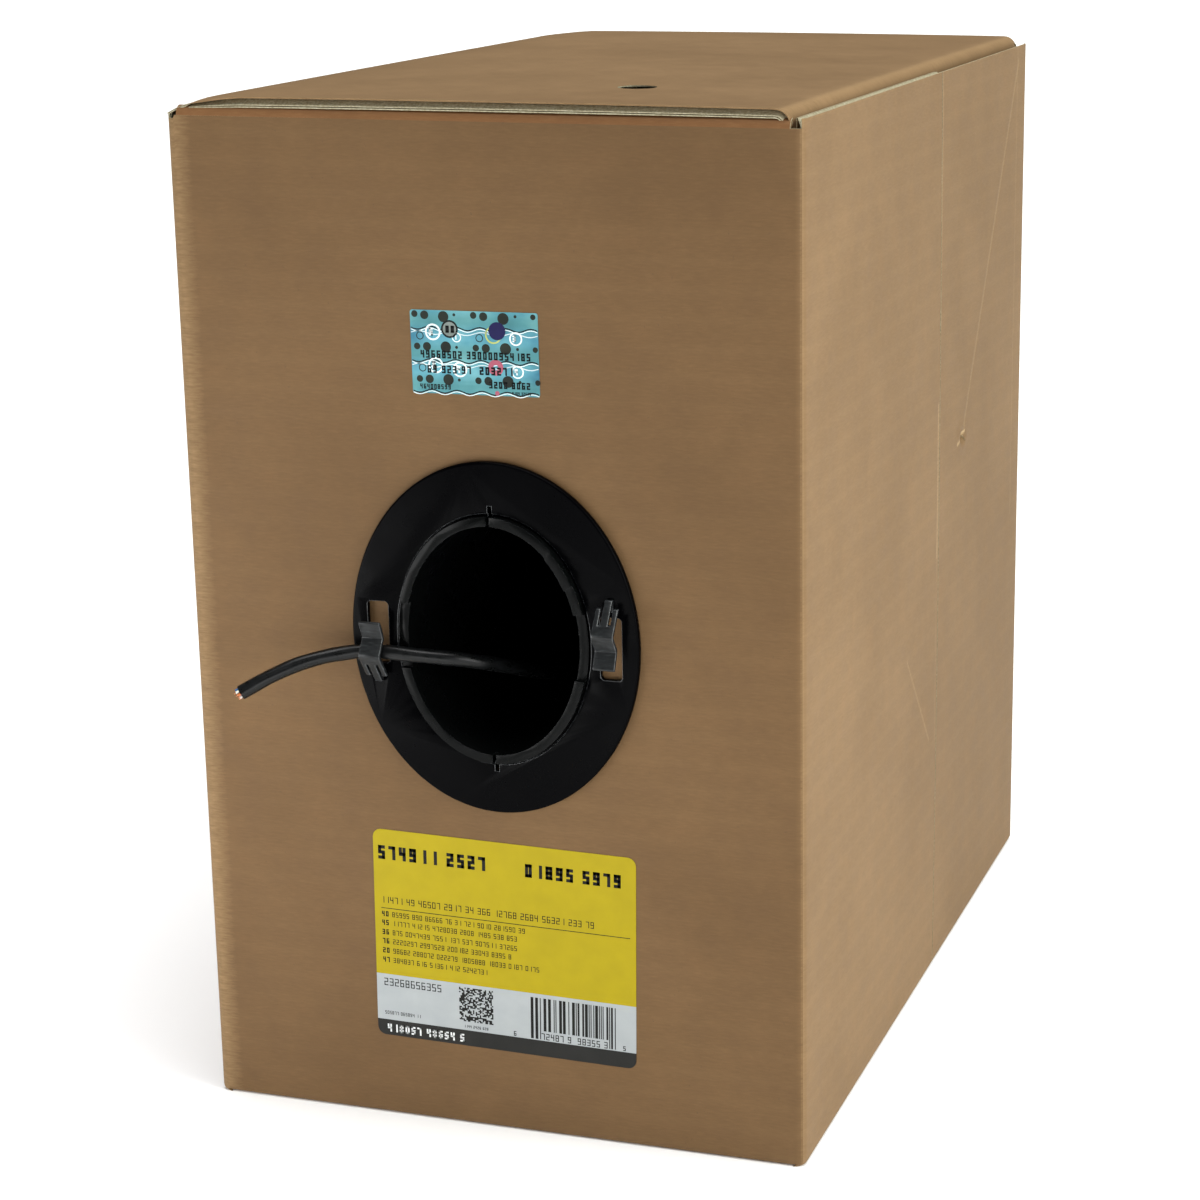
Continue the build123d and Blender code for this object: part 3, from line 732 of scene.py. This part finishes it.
def build_lid():
    """The lid with its tuck flap, and the crushed fold that carries it."""
    top = lid_high.z
    fold_x = LEFT + HINGE_SIDE_FOLD
    corner = 12 * MM
    # from the tuck flap's free edge, over the soft roll and along the lid to the fold
    path = [(tuck_high.x, tuck_low.z), (tuck_high.x, top - LID_ROLL)]
    path += arc((tuck_high.x - LID_ROLL, top - LID_ROLL), LID_ROLL, 0, 90, 9)[1:]
    path += [(fold_x, top)]
    board = Board("lid_board", path, "Y", lid_low.y, lid_high.y, "axis", bulge=lid_shape, wear=lid_wear_and_roll_highlight,
                  phase=LID_FLUTE_PHASE, edge=0)
    lid = board.build(KRAFT_LID, extra_axis=[tuck_low.y, tuck_high.y])
    # the tuck flap is narrower than the lid, with its lower corners cut off
    outer, inner, low = 1 * MM, 12 * MM, tuck_low.z
    cutters = []
    for side, end, flap in ((-1, lid_low.y, tuck_low.y), (1, lid_high.y, tuck_high.y)):
        outline = [(end + side * outer, low - outer), (flap - side * corner, low - outer),
                   (flap - side * corner, low), (flap, low + corner), (flap, top - 1.3 * LID_ROLL),
                   (end + side * outer, top - 1.3 * LID_ROLL)]
        if side > 0:
            outline.reverse()
        cutters.append(prism("flap_cutter", outline[::-1], tuck_low.x - inner, tuck_high.x + outer, "X"))
    hole = [(FINGER_HOLE.x + FINGER_RADIUS * math.cos(t), FINGER_HOLE.y + FINGER_RADIUS * math.sin(t))
            for t in around(40)]
    cutters.append(prism("finger_cutter", hole, top - 3 * BOARD, top + 3 * BOARD, "Z"))
    cut(lid, cutters)
    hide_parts("lid_panel", "lid_tuck_flap")
    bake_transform(lid)
    # fold between the lid and the left wall: crushed board, thinner than the rest
    path = arc((fold_x, HINGE_TOP - HINGE_SIDE_FOLD), HINGE_SIDE_FOLD, 90, 180, 8)
    fold = Board("hinge_fold_board", path, "Y", lid_low.y, lid_high.y, "axis", thickness=BOARD * FOLD_CRUSH,
                 bulge=fold_shape, wear=lambda place: 0.4).build(KRAFT_LID)
    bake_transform(fold)


def build_dust_flaps():
    """The front and rear dust flaps, each with the fold it hangs from."""
    for node, name, low, high, side in (("front_dust_flap", "front_dust", dust_low, dust_high, -1),
                                        ("rear_dust_flap", "rear_dust", rear_dust_low, rear_dust_high, 1)):
        fold_y = low.y if side < 0 else high.y
        free_y = high.y if side < 0 else low.y
        path = [(fold_y, high.z), (free_y, high.z)] if side > 0 else [(free_y, high.z), (fold_y, high.z)]
        flap = Board(name + "_board", path, "X", low.x, high.x, "path", bulge=top_shape).build(KRAFT_PAINTED_SHADE)
        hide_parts(node)
        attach(flap, name)
        centre = (fold_y, high.z - DUST_FOLD)
        path = arc(centre, DUST_FOLD, 180, 90, 6) if side < 0 else arc(centre, DUST_FOLD, 90, 0, 6)
        fold = Board(name + "_fold", path[::-1], "X", low.x - 2.5 * MM, high.x + 4.0 * MM, "path",
                     thickness=BOARD * 0.85, bulge=top_shape, wear=lambda place: 0.2).build(KRAFT_FOLD)
        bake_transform(fold)


# ---------------------------------------------------------------- tubes: cable and wires
class Tubes:
    """Round tubes that follow lists of points, gathered in one mesh."""

    def __init__(self):
        self.vertices, self.faces, self.slots = [], [], []

    def add(self, points, radius, sides=8, slot=0, closed=False, caps=True, shape=None):
        """shape(distance along, angle) scales the radius, for a surface that isn't quite round."""
        points = [Vector(p) for p in points]
        count = len(points)
        first = len(self.vertices)
        normal, length = None, 0.0
        for i, point in enumerate(points):
            before = points[i - 1] if i or closed else points[0]
            after = points[(i + 1) % count] if i < count - 1 or closed else points[-1]
            along = (after - before).normalized()
            if normal is None:
                normal = along.orthogonal().normalized()
            else:
                normal = (normal - along * normal.dot(along)).normalized()
                length += (point - points[i - 1]).length
            other = along.cross(normal)
            for k in range(sides):
                angle = 2 * math.pi * k / sides
                reach = radius * (shape(length, angle) if shape else 1.0)
                self.vertices.append(point + (normal * math.cos(angle) + other * math.sin(angle)) * reach)
        for i in range(count if closed else count - 1):
            for k in range(sides):
                a, b = first + i * sides + k, first + i * sides + (k + 1) % sides
                c = first + ((i + 1) % count) * sides + (k + 1) % sides
                d = first + ((i + 1) % count) * sides + k
                self.faces.append((a, b, c, d))
                self.slots.append(slot)
        if caps and not closed:
            last = first + (count - 1) * sides
            self.faces += [tuple(range(first, first + sides))[::-1], tuple(range(last, last + sides))]
            self.slots += [slot, slot]

    def build(self, name, materials):
        thing = make_object(name, self.vertices, self.faces, materials, self.slots, smooth=True)
        thing.data.set_sharp_from_angle(angle=math.radians(50))
        return thing


CABLE_RADIUS = 2.45 * MM
BORE_BEHIND_TUBE = 5 * MM  # the coil's bore starts this far behind the payout tube's inner end


def build_coil():
    """A spool-less winding: the cable crosses itself from side to side and leaves the payout hole open."""
    outer = (coil_high.y - coil_low.y) / 2
    bore = BORE_BEHIND_TUBE - tube_high.y
    reach = coil_high.x - 3.4 * MM
    centre_z = coil_high.z - outer
    half_x, half_z = TUBE_HALF_X + 3 * MM + CABLE_RADIUS, TUBE_HALF_Z + 3 * MM + CABLE_RADIUS
    floor_z = coil_low.z + CABLE_RADIUS

    def parted(x, y, z, side):
        """Moves a point of the winding to one side of the payout hole, at the front."""
        rise = (z - OVAL.z) / half_z
        if y > 0 or abs(rise) >= 1:
            return Vector((x, y, max(z, floor_z))), 0
        from_hole = x - OVAL.x
        side = side or math.copysign(1, from_hole)
        gap = half_x * math.sqrt(1 - rise * rise)
        x = OVAL.x + side * (gap + max(0.0, side * from_hole) * (reach - gap) / reach)
        return Vector((x, y, z)), side

    tubes = Tubes()
    turns, cycles, steps = 80, 39, 44
    layers = ((outer - 2.4 * CABLE_RADIUS, 1, 0.13), (bore + 2.2 * CABLE_RADIUS, -1, 0.37))
    for radius, sign, phase in layers:
        points, stops, side = [], [], 0
        for i in range(turns * steps):
            near = math.sin(2 * math.pi * i / steps) < -0.8
            stops += [i + k / 6 for k in range(6)] if near else [i]
        for i in stops:
            angle = 2 * math.pi * i / steps
            share = (i / (turns * steps) * cycles + phase) % 1.0
            swing = 4 * abs(share - 0.5) - 1
            swing = math.copysign(1 - (1 - abs(swing)) ** 1.08, swing)
            rising = math.tanh(6 * math.sin(2 * math.pi * share))
            lift = 0.55 * rising + 0.45 * math.sin(3.1 * angle / 2 + 0.7)
            away = radius + sign * CABLE_RADIUS * lift
            point, side = parted(reach * swing, away * math.sin(angle), centre_z - away * math.cos(angle),
                                 side)
            points.append(point)
        tubes.add(points, CABLE_RADIUS, sides=7)
    for side in (-1, 1):
        rings = 11
        for k in range(rings):
            radius = bore + 5.2 * MM + (outer - bore - 10.4 * MM) * k / (rings - 1)
            wobble = random.uniform(0, 6)
            points = [Vector((side * (reach + 0.4 * MM * math.sin(2 * a + wobble)), radius * math.sin(a),
                              max(centre_z - radius * math.cos(a), floor_z)))
                      for a in around(56)]
            tubes.add(points, CABLE_RADIUS, sides=7, closed=True)
    windings = tubes.build("coil_windings", [JACKET])
    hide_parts("cable_coil")
    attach(windings, "carton")

    core = bpy.data.objects.new("coil_core", frame["nodes"]["cable_coil"].data.copy())
    core.data.materials.clear()
    core.data.materials.append(JACKET)
    bpy.context.scene.collection.objects.link(core)
    for vertex in core.data.vertices:
        place = vertex.co
        away = Vector((place.y, place.z - centre_z))
        inset = -4.5 * MM if away.length > (outer + bore) / 2 else 4.5 * MM
        away *= (away.length + inset) / away.length
        vertex.co = Vector((place.x * 0.955, away.x, max(centre_z + away.y, coil_low.z + 3 * MM)))
    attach(core, "carton")


CABLE_ROUTE = [
    (-80.0, -194.0, 156.2), (-70.4, -189.0, 162.0), (-59.4, -182.8, 166.2), (-47.5, -176.8, 168.2),
    (-38.2, -175.2, 168.6), (-27.2, -175.6, 168.2), (-16.4, -172.0, 167.0), (-7.2, -165.2, 164.4),
    (-0.6, -155.1, 160.6), (3.0, -142.0, 155.6), (4.4, -124.0, 149.6), (4.6, -104.0, 144.8),
    (4.8, -84.0, 138.2), (6.2, -58.0, 121.0), (8.6, -34.1, 100.5), (11.4, -12.5, 81.5),
    (15.0, 10.5, 69.4), (19.0, 34.0, 72.0), (22.0, 53.0, 81.0)]
WIRE_COLOURS = [("white", "#e9e4dc"), ("orange", "#d9763a"), ("white_green", "#dfe6d8"),
                ("blue", "#3b6fb0"), ("white_blue", "#dbe2ea"), ("green", "#4c9250"),
                ("white_brown", "#e6dccf"), ("brown", "#8a5a3c")]


def spline_points():
    """The points of the spline through the cable's route."""
    curve = bpy.data.curves.new("cable_route", "CURVE")
    curve.dimensions = "3D"
    spline = curve.splines.new("NURBS")
    spline.points.add(len(CABLE_ROUTE) - 1)
    for point, place in zip(spline.points, CABLE_ROUTE):
        point.co = (place[0] * MM, place[1] * MM, place[2] * MM, 1)
    spline.order_u = 3
    spline.use_endpoint_u = True
    spline.resolution_u = 12
    thing = bpy.data.objects.new("cable_route", curve)
    bpy.context.scene.collection.objects.link(thing)
    mesh = bpy.data.meshes.new_from_object(thing)
    points = [v.co.copy() for v in mesh.vertices]
    bpy.data.objects.remove(thing)
    bpy.data.meshes.remove(mesh)
    return points


def build_lead():
    """The cable's free end, with the wires and copper that show at its cut."""
    points = spline_points()

    def twist(length, angle):
        """The twisted pairs under the jacket show as a slow spiral of low lumps."""
        return 1 + 0.022 * math.cos(2 * angle - 2 * math.pi * length / (17 * MM)) + 0.012 * math.cos(
            angle + 2 * math.pi * length / (11 * MM))

    tubes = Tubes()
    tubes.add(points, CABLE_RADIUS * 0.985, sides=20, shape=twist)
    lead = tubes.build("cable_lead_jacket", [JACKET])
    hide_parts("cable_lead")
    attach(lead, "carton")

    # the cut end: eight wires, in twisted pairs, and their bare tips
    tip = points[0]
    out = (points[0] - points[1]).normalized()
    side = out.orthogonal().normalized()
    other = out.cross(side)
    wires, tips = Tubes(), Tubes()
    for k in range(8):
        pair = 2 * math.pi * (k // 2) / 4 + 0.4
        own = pair + (0.42 if k % 2 else -0.42)
        middle = (side * math.cos(own) + other * math.sin(own)) * 1.42 * MM
        splay = (side * math.cos(own) + other * math.sin(own)) * random.uniform(-0.1, 0.25) * MM
        long = random.uniform(0.7, 1.6) * MM
        path = [tip + middle - out * 0.6 * MM, tip + middle, tip + middle + splay * 0.4 + out * long * 0.5,
                tip + middle + splay + out * long]
        wires.add(path, 0.46 * MM, sides=10, slot=k)
        end = path[-1]
        tips.add([end - out * 0.3 * MM, end + out * random.uniform(0.2, 0.9) * MM], 0.255 * MM, sides=8)
    ends = wires.build("wire_ends", [insulation(name, colour) for name, colour in WIRE_COLOURS])
    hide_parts("conductor_ends")
    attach(ends, "carton")
    drawn_copper = mottled("copper_drawn", 0.4 * MM, 2.0, [(0.3, "#c57f5a"), (0.7, "#e8a67f")], Metallic=1.0,
                           Roughness=0.3)
    copper = tips.build("copper_tips", [drawn_copper])
    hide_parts("copper_ends")
    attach(copper, "carton")


# ---------------------------------------------------------------- printed labels
SEGMENTS = {"0": "abcdef", "1": "bc", "2": "abged", "3": "abgcd", "4": "fgbc", "5": "afgcd", "6": "afgedc",
            "7": "abc", "8": "abcdefg", "9": "abcdfg"}


class Print:
    """A sheet on the front wall and flat shapes printed on it, as one mesh."""

    def __init__(self, low, high, tilt):
        self.centre, self.tilt = (low + high) / 2, math.radians(tilt)
        self.vertices, self.faces, self.slots = [], [], []

    def shape(self, outline, back, front, slot):
        """A thin plate; the outline is (u, v) in millimetres from the centre, counterclockwise."""
        count, first = len(outline), len(self.vertices)
        c, s = math.cos(self.tilt), math.sin(self.tilt)
        for depth in (back, front):
            for u, v in outline:
                self.vertices.append((self.centre.x + (u * c - v * s) * MM, FRONT - depth * MM,
                                      self.centre.z + (u * s + v * c) * MM))
        self.faces.append(tuple(range(first + count, first + 2 * count)))
        self.slots.append(slot)
        for i in range(count):
            j = (i + 1) % count
            self.faces.append((first + i, first + j, first + count + j, first + count + i))
            self.slots.append(slot)

    def bar(self, u, v, width, height, slot, top=0.17):
        self.shape([(u, v), (u + width, v), (u + width, v + height), (u, v + height)], 0.14, top, slot)

    def disc(self, u, v, radius, slot, hole=0.0, top=0.17):
        ring = [(math.cos(t), math.sin(t)) for t in around(24)]
        if not hole:
            self.shape([(u + radius * a, v + radius * b) for a, b in ring], 0.14, top, slot)
            return
        for (a, b), (c, d) in zip(ring, ring[1:] + ring[:1]):
            self.shape([(u + hole * a, v + hole * b), (u + radius * a, v + radius * b),
                        (u + radius * c, v + radius * d), (u + hole * c, v + hole * d)], 0.14, top, slot)

    def numbers(self, u, v, height, end, slot, weight=0.16, aspect=0.52, words=(2, 8), top=0.17):
        """A line of plain numbers from u to end, standing on v."""
        width, stroke, gap = height * aspect, height * weight, height * (0.16 + weight * 0.4)
        left = random.randint(*words)
        while u + width <= end:
            for segment in SEGMENTS[random.choice("0123456789")]:
                x, y, w, h = {
                    "a": (0, height - stroke, width, stroke), "d": (0, 0, width, stroke),
                    "g": (0, (height - stroke) / 2, width, stroke),
                    "b": (width - stroke, height / 2, stroke, height / 2),
                    "c": (width - stroke, 0, stroke, height / 2),
                    "f": (0, height / 2, stroke, height / 2), "e": (0, 0, stroke, height / 2)}[segment]
                self.bar(u + x, v + y, w, h, slot, top)
            u += width + gap
            left -= 1
            if left == 0:
                u += height * 0.45
                left = random.randint(*words)

    def lines(self, slot, *rows, **look):
        """Lines of numbers; each row is (u, v, height, end, weight, words)."""
        for u, v, height, end, weight, words in rows:
            self.numbers(u, v, height, end, slot, weight, words=words, **look)

    def build(self, name, materials, node, slot):
        thing = make_object(name, self.vertices, self.faces, materials, self.slots)
        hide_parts(node)
        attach(thing, "carton")
        return thing


def rounded(width, height, radius, count=6):
    """A rectangle's outline about its centre, with round corners."""
    points = []
    for x, y, start in ((1, -1, 270), (1, 1, 0), (-1, 1, 90), (-1, -1, 180)):
        centre = (x * (width / 2 - radius), y * (height / 2 - radius))
        points += arc(centre, radius, start, start + 90, count)
    return points


def band(outline, low, high):
    """The part of a convex outline between two heights."""
    for limit, sign in ((low, 1), (high, -1)):
        kept = []
        for (a, b), (c, d) in zip(outline, outline[1:] + outline[:1]):
            inside, next_inside = sign * (b - limit) >= 0, sign * (d - limit) >= 0
            if inside:
                kept.append((a, b))
            if inside != next_inside:
                share = (limit - b) / (d - b)
                kept.append((a + (c - a) * share, limit))
        outline = kept
    return outline


LABEL_TILT, SEAL_TILT = -0.9, 0.3  # degrees, anticlockwise as seen from the front
LABEL_WIDTH, LABEL_HEIGHT, LABEL_CORNER = 94, 75, 3  # millimetres, as on the CAD's label
SEAL_WIDTH, SEAL_HEIGHT, SEAL_CORNER = 43.6, 26.8, 0.8


BAR_WIDTHS = (0.33, 0.33, 0.66, 0.99)  # millimetres


def build_label():
    """The product label: numbers, a square of modules and bars on yellow, white and black."""
    page = Print(label_low, label_high, LABEL_TILT)
    yellow, white, black, ink, pale_ink = range(5)
    outline = rounded(LABEL_WIDTH, LABEL_HEIGHT, LABEL_CORNER)
    for low, high, colour in ((-15.0, 38, yellow), (-31.8, -15.0, white), (-38, -31.8, black)):
        page.shape(band(outline, low, high), 0, 0.15, colour)
    page.lines(ink, (-45.2, 26.8, 4.9, -5.2, 0.24, (3, 6)), (8.0, 26.4, 4.7, 43.6, 0.24, (4, 6)),
               (-44.6, 11.0, 2.3, 33.0, 0.12, (2, 6)))
    page.bar(-44.6, 9.0, 89.6, 0.25, ink)
    for v, end in ((6.1, 9.5), (2.9, 5.5), (-0.5, 6.5), (-3.8, 3.5), (-7.2, 13.5), (-10.6, -5.0)):
        page.lines(ink, (-44.4, v, 1.9, -41.2, 0.2, (2, 2)), (-40.6, v, 1.8, end, 0.13, (2, 7)))
    page.lines(ink, (-44.2, -19.2, 2.7, -21.5, 0.12, (10, 12)),
               (-44.2, -29.8, 1.2, -31.0, 0.14, (4, 6)), (-15.0, -30.9, 1.0, -5.4, 0.16, (4, 5)))
    # a square of random modules, and a row of random bars
    modules = 25
    size = 12.4 / modules
    for i in range(modules):
        run = 0
        for j in range(modules + 1):
            if j < modules and random.random() < 0.52:
                run += 1
            elif run:
                page.bar(-16.6 + (j - run) * size, -28.6 + i * size, run * size, size, ink)
                run = 0
    u = 9.4
    while u < 40.0:
        wide = random.choice(BAR_WIDTHS)
        low = -28.3 if 13 < u < 37 else -31.4
        page.bar(u, low, wide, -16.4 - low, ink)
        u += wide + random.choice(BAR_WIDTHS)
    page.lines(ink, (13.2, -31.4, 2.3, 24.2, 0.13, (5, 5)), (26.2, -31.4, 2.3, 37.4, 0.13, (5, 5)),
               (3.2, -31.4, 1.7, 5.4, 0.16, (1, 1)), (42.4, -31.4, 1.7, 44.4, 0.16, (1, 1)))
    page.lines(pale_ink, (-43.4, -36.3, 2.9, -14.0, 0.2, (5, 8)))
    page.build("product_label_print", printed_papers(
        ("yellow_ink", "#9e8d00", "#a59300", 0.42), ("bare", "#9ea3a5", "#a5aaab", 0.5),
        ("black_ink", "#1b1b19", "#21211f", 0.45), ("text_ink", "#0b0a08", "#11100d", 0.55),
        ("reversed_text", "#d6d9d9", "#e0e2e2", 0.5)), "product_label", "label_paper")


def ribbon(page, v, height, waves, slot, top=0.16):
    """A wavy band across the seal."""
    count, length = 40, 43.2
    for i in range(count):
        u0, u1 = -21.6 + length * i / count, -21.6 + length * (i + 1) / count
        v0, v1 = (v + 0.55 * math.sin(waves * u / length * 2 * math.pi) for u in (u0, u1))
        page.shape([(u0, v0), (u1, v1), (u1, v1 + height), (u0, v0 + height)], 0.14, top, slot)


def build_seal():
    """The seal sticker: dots, ribbons, rings and numbers on teal film."""
    page = Print(seal_low, seal_high, SEAL_TILT)
    film, silver, ink, pale, blue, pink, dots, amber, grey = range(9)
    page.shape(rounded(SEAL_WIDTH, SEAL_HEIGHT, SEAL_CORNER, 3), 0, 0.15, film)
    for rise, drift in ((12.1, 0.0), (1.7, 0.5), (-8.8, 1.0)):
        for u, radius in ((-20.2, 1.1), (-16.8, 1.4), (-10.3, 1.8), (-6.6, 0.5), (0.0, 1.1), (3.4, 1.4),
                          (10.1, 1.9), (14.2, 0.5), (20.2, 0.9)):
            page.disc(u + drift, min(rise, 13.2 - radius), radius, dots, top=0.155)
    for rise in (7.5, -3.0, -12.9):
        ribbon(page, rise, 0.4, 5.0, ink, 0.158)
        ribbon(page, rise - 0.45, 0.28, 5.0, pale, 0.16)
        if rise > -12:
            ribbon(page, rise - 1.5, 0.3, 4.0, silver, 0.16)
    for u, v, radius in ((-14.1, 6.4, 2.7), (-6.0, 4.9, 1.6), (14.2, 5.0, 2.2), (-13.5, -4.3, 2.6),
                         (-5.2, -5.4, 2.5), (14.5, -5.6, 2.1)):
        page.disc(u, v, radius, pale, hole=radius * 0.78, top=0.18)
        page.numbers(u - radius * 0.5, v - radius * 0.45, radius * 0.95, u + radius * 0.7, pale, weight=0.24,
                     words=(2, 2), top=0.18)
    for u, v in ((-18.6, 5.1), (1.8, 4.9), (-18.1, -5.2)):
        page.disc(u, v, 1.3, dots, hole=1.0, top=0.165)
    # the badge
    page.disc(-8.3, 7.5, 2.9, ink, top=0.18)
    page.disc(-8.3, 7.5, 2.3, grey, top=0.185)
    page.numbers(-9.7, 6.3, 2.3, -6.6, ink, weight=0.26, words=(2, 2), top=0.19)
    page.disc(6.6, 6.0, 2.8, amber, hole=2.3, top=0.16)
    page.disc(7.9, 7.3, 2.9, blue, top=0.185)
    page.disc(7.1, -4.4, 2.6, pink, hole=0.9, top=0.165)
    page.disc(7.3, -12.6, 0.75, pink, top=0.165)
    page.lines(ink, (-18.6, -2.0, 2.5, 19.8, 0.2, (6, 14)), top=0.19, aspect=0.5)
    page.lines(ink, (-16.4, -6.8, 2.5, -0.5, 0.2, (2, 3)), (1.5, -6.9, 2.6, 15.4, 0.22, (6, 6)),
               (-19.2, -12.0, 1.6, -8.4, 0.2, (9, 9)), (4.6, -11.1, 2.2, 19.6, 0.22, (4, 4)),
               (12.4, -12.9, 0.9, 19.4, 0.2, (4, 6)), top=0.19)
    page.build("seal_print", [seal_film()] + printed_papers(
        ("silver", "#b9c9cd", "#dfe9ea", 0.3), ("seal_ink", "#030808", "#071010", 0.4),
        ("seal_pale", "#d5e4e6", "#eaf2f2", 0.35), ("seal_blue", "#141340", "#1b1a4e", 0.35),
        ("seal_pink", "#9c4c60", "#b56a78", 0.35), ("seal_dots", "#161c18", "#222a22", 0.35),
        ("seal_amber", "#a8b54e", "#c3c878", 0.35), ("seal_grey", "#6c7672", "#7f8984", 0.35)),
        "seal_sticker", "seal_film")


# ---------------------------------------------------------------- moulded parts
def build_plastic():
    """The flange, the sleeve behind it and the two clips, from the CAD nodes."""
    for node, name, body, material, slot, bevel in (
            ("outer_flange", "flange_moulding", "carton", BLACK, "black_plastic", 0.25 * MM),
            ("payout_tube", "payout_tube_moulding", "carton", TUBE, "black_plastic", 0.2 * MM),
            ("cable_clip_left", "clip_left_moulding", "clip_left", CLIP, "clip_plastic", 0.22 * MM),
            ("cable_clip_right", "clip_right_moulding", "clip_right", CLIP, "clip_plastic", 0.22 * MM)):
        thing = copy_of_node(node, name, bevel, (material, PAINTED_EDGE_HIGHLIGHT))
        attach(thing, body)


# ---------------------------------------------------------------- studio
def make_floor():
    """Painted studio floor, far wider than the view."""
    corners = [(x * FLOOR_HALF, y * FLOOR_HALF, 0) for x, y in ((-1, -1), (1, -1), (1, 1), (-1, 1))]
    paint = mottled("studio_floor_paint", 0.5, 2.0, [(0.3, "#fafafa"), (0.7, "#fcfcfc")], Roughness=0.9)
    floor = make_object("floor", corners, [(0, 1, 2, 3)], [paint])


def make_lights():
    """Two suns, four softboxes and a dim white world."""
    scene = bpy.context.scene
    scene.view_settings.view_transform = "Standard"
    world = bpy.data.worlds.new("studio")
    world.use_nodes = True
    background = world.node_tree.nodes["Background"]
    background.inputs["Color"].default_value = (1, 1, 1, 1)
    background.inputs["Strength"].default_value = 0.1
    scene.world = world

    def lamp(name, kind, backwards, energy):
        data = bpy.data.lights.new(name, kind)
        data.energy = energy
        thing = bpy.data.objects.new(name, data)
        thing.rotation_euler = backwards.to_track_quat("Z", "Y").to_euler()
        scene.collection.objects.link(thing)
        return thing

    for name, towards, strength, angle, colour in (
            ("key", (0.85, 0.05, 0.52), 2.0, 35, (0.95, 1.0, 0.94)),
            ("top", (0.05, 0.04, 1.0), 3.25, 50, (1, 1, 1))):
        sun = lamp(name, "SUN", Vector(towards), strength)
        sun.data.angle, sun.data.color = math.radians(angle), colour
    # softboxes are aimed at a point just behind the front wall
    aim = Vector((0, -0.1, 0.17))
    for name, place, size, power in (
            ("left_softbox", (-0.34, -0.42, 0.08), 0.25, 1.2), ("side_softbox", (0.55, -0.42, 0.3), 0.3, 1.5),
            ("front_softbox", (0.0, -1.15, 0.95), 0.4, 0.4), ("low_softbox", (0.05, -0.5, 0.01), 0.25, 0.35)):
        box = lamp(name, "AREA", Vector(place) - aim, power)
        box.data.size, box.location, box.visible_camera = size, place, False


build_walls()
build_floor_flaps()
build_lid()
build_dust_flaps()
build_coil()
build_lead()
build_label()
build_seal()
build_plastic()
make_camera()
make_floor()
make_lights()
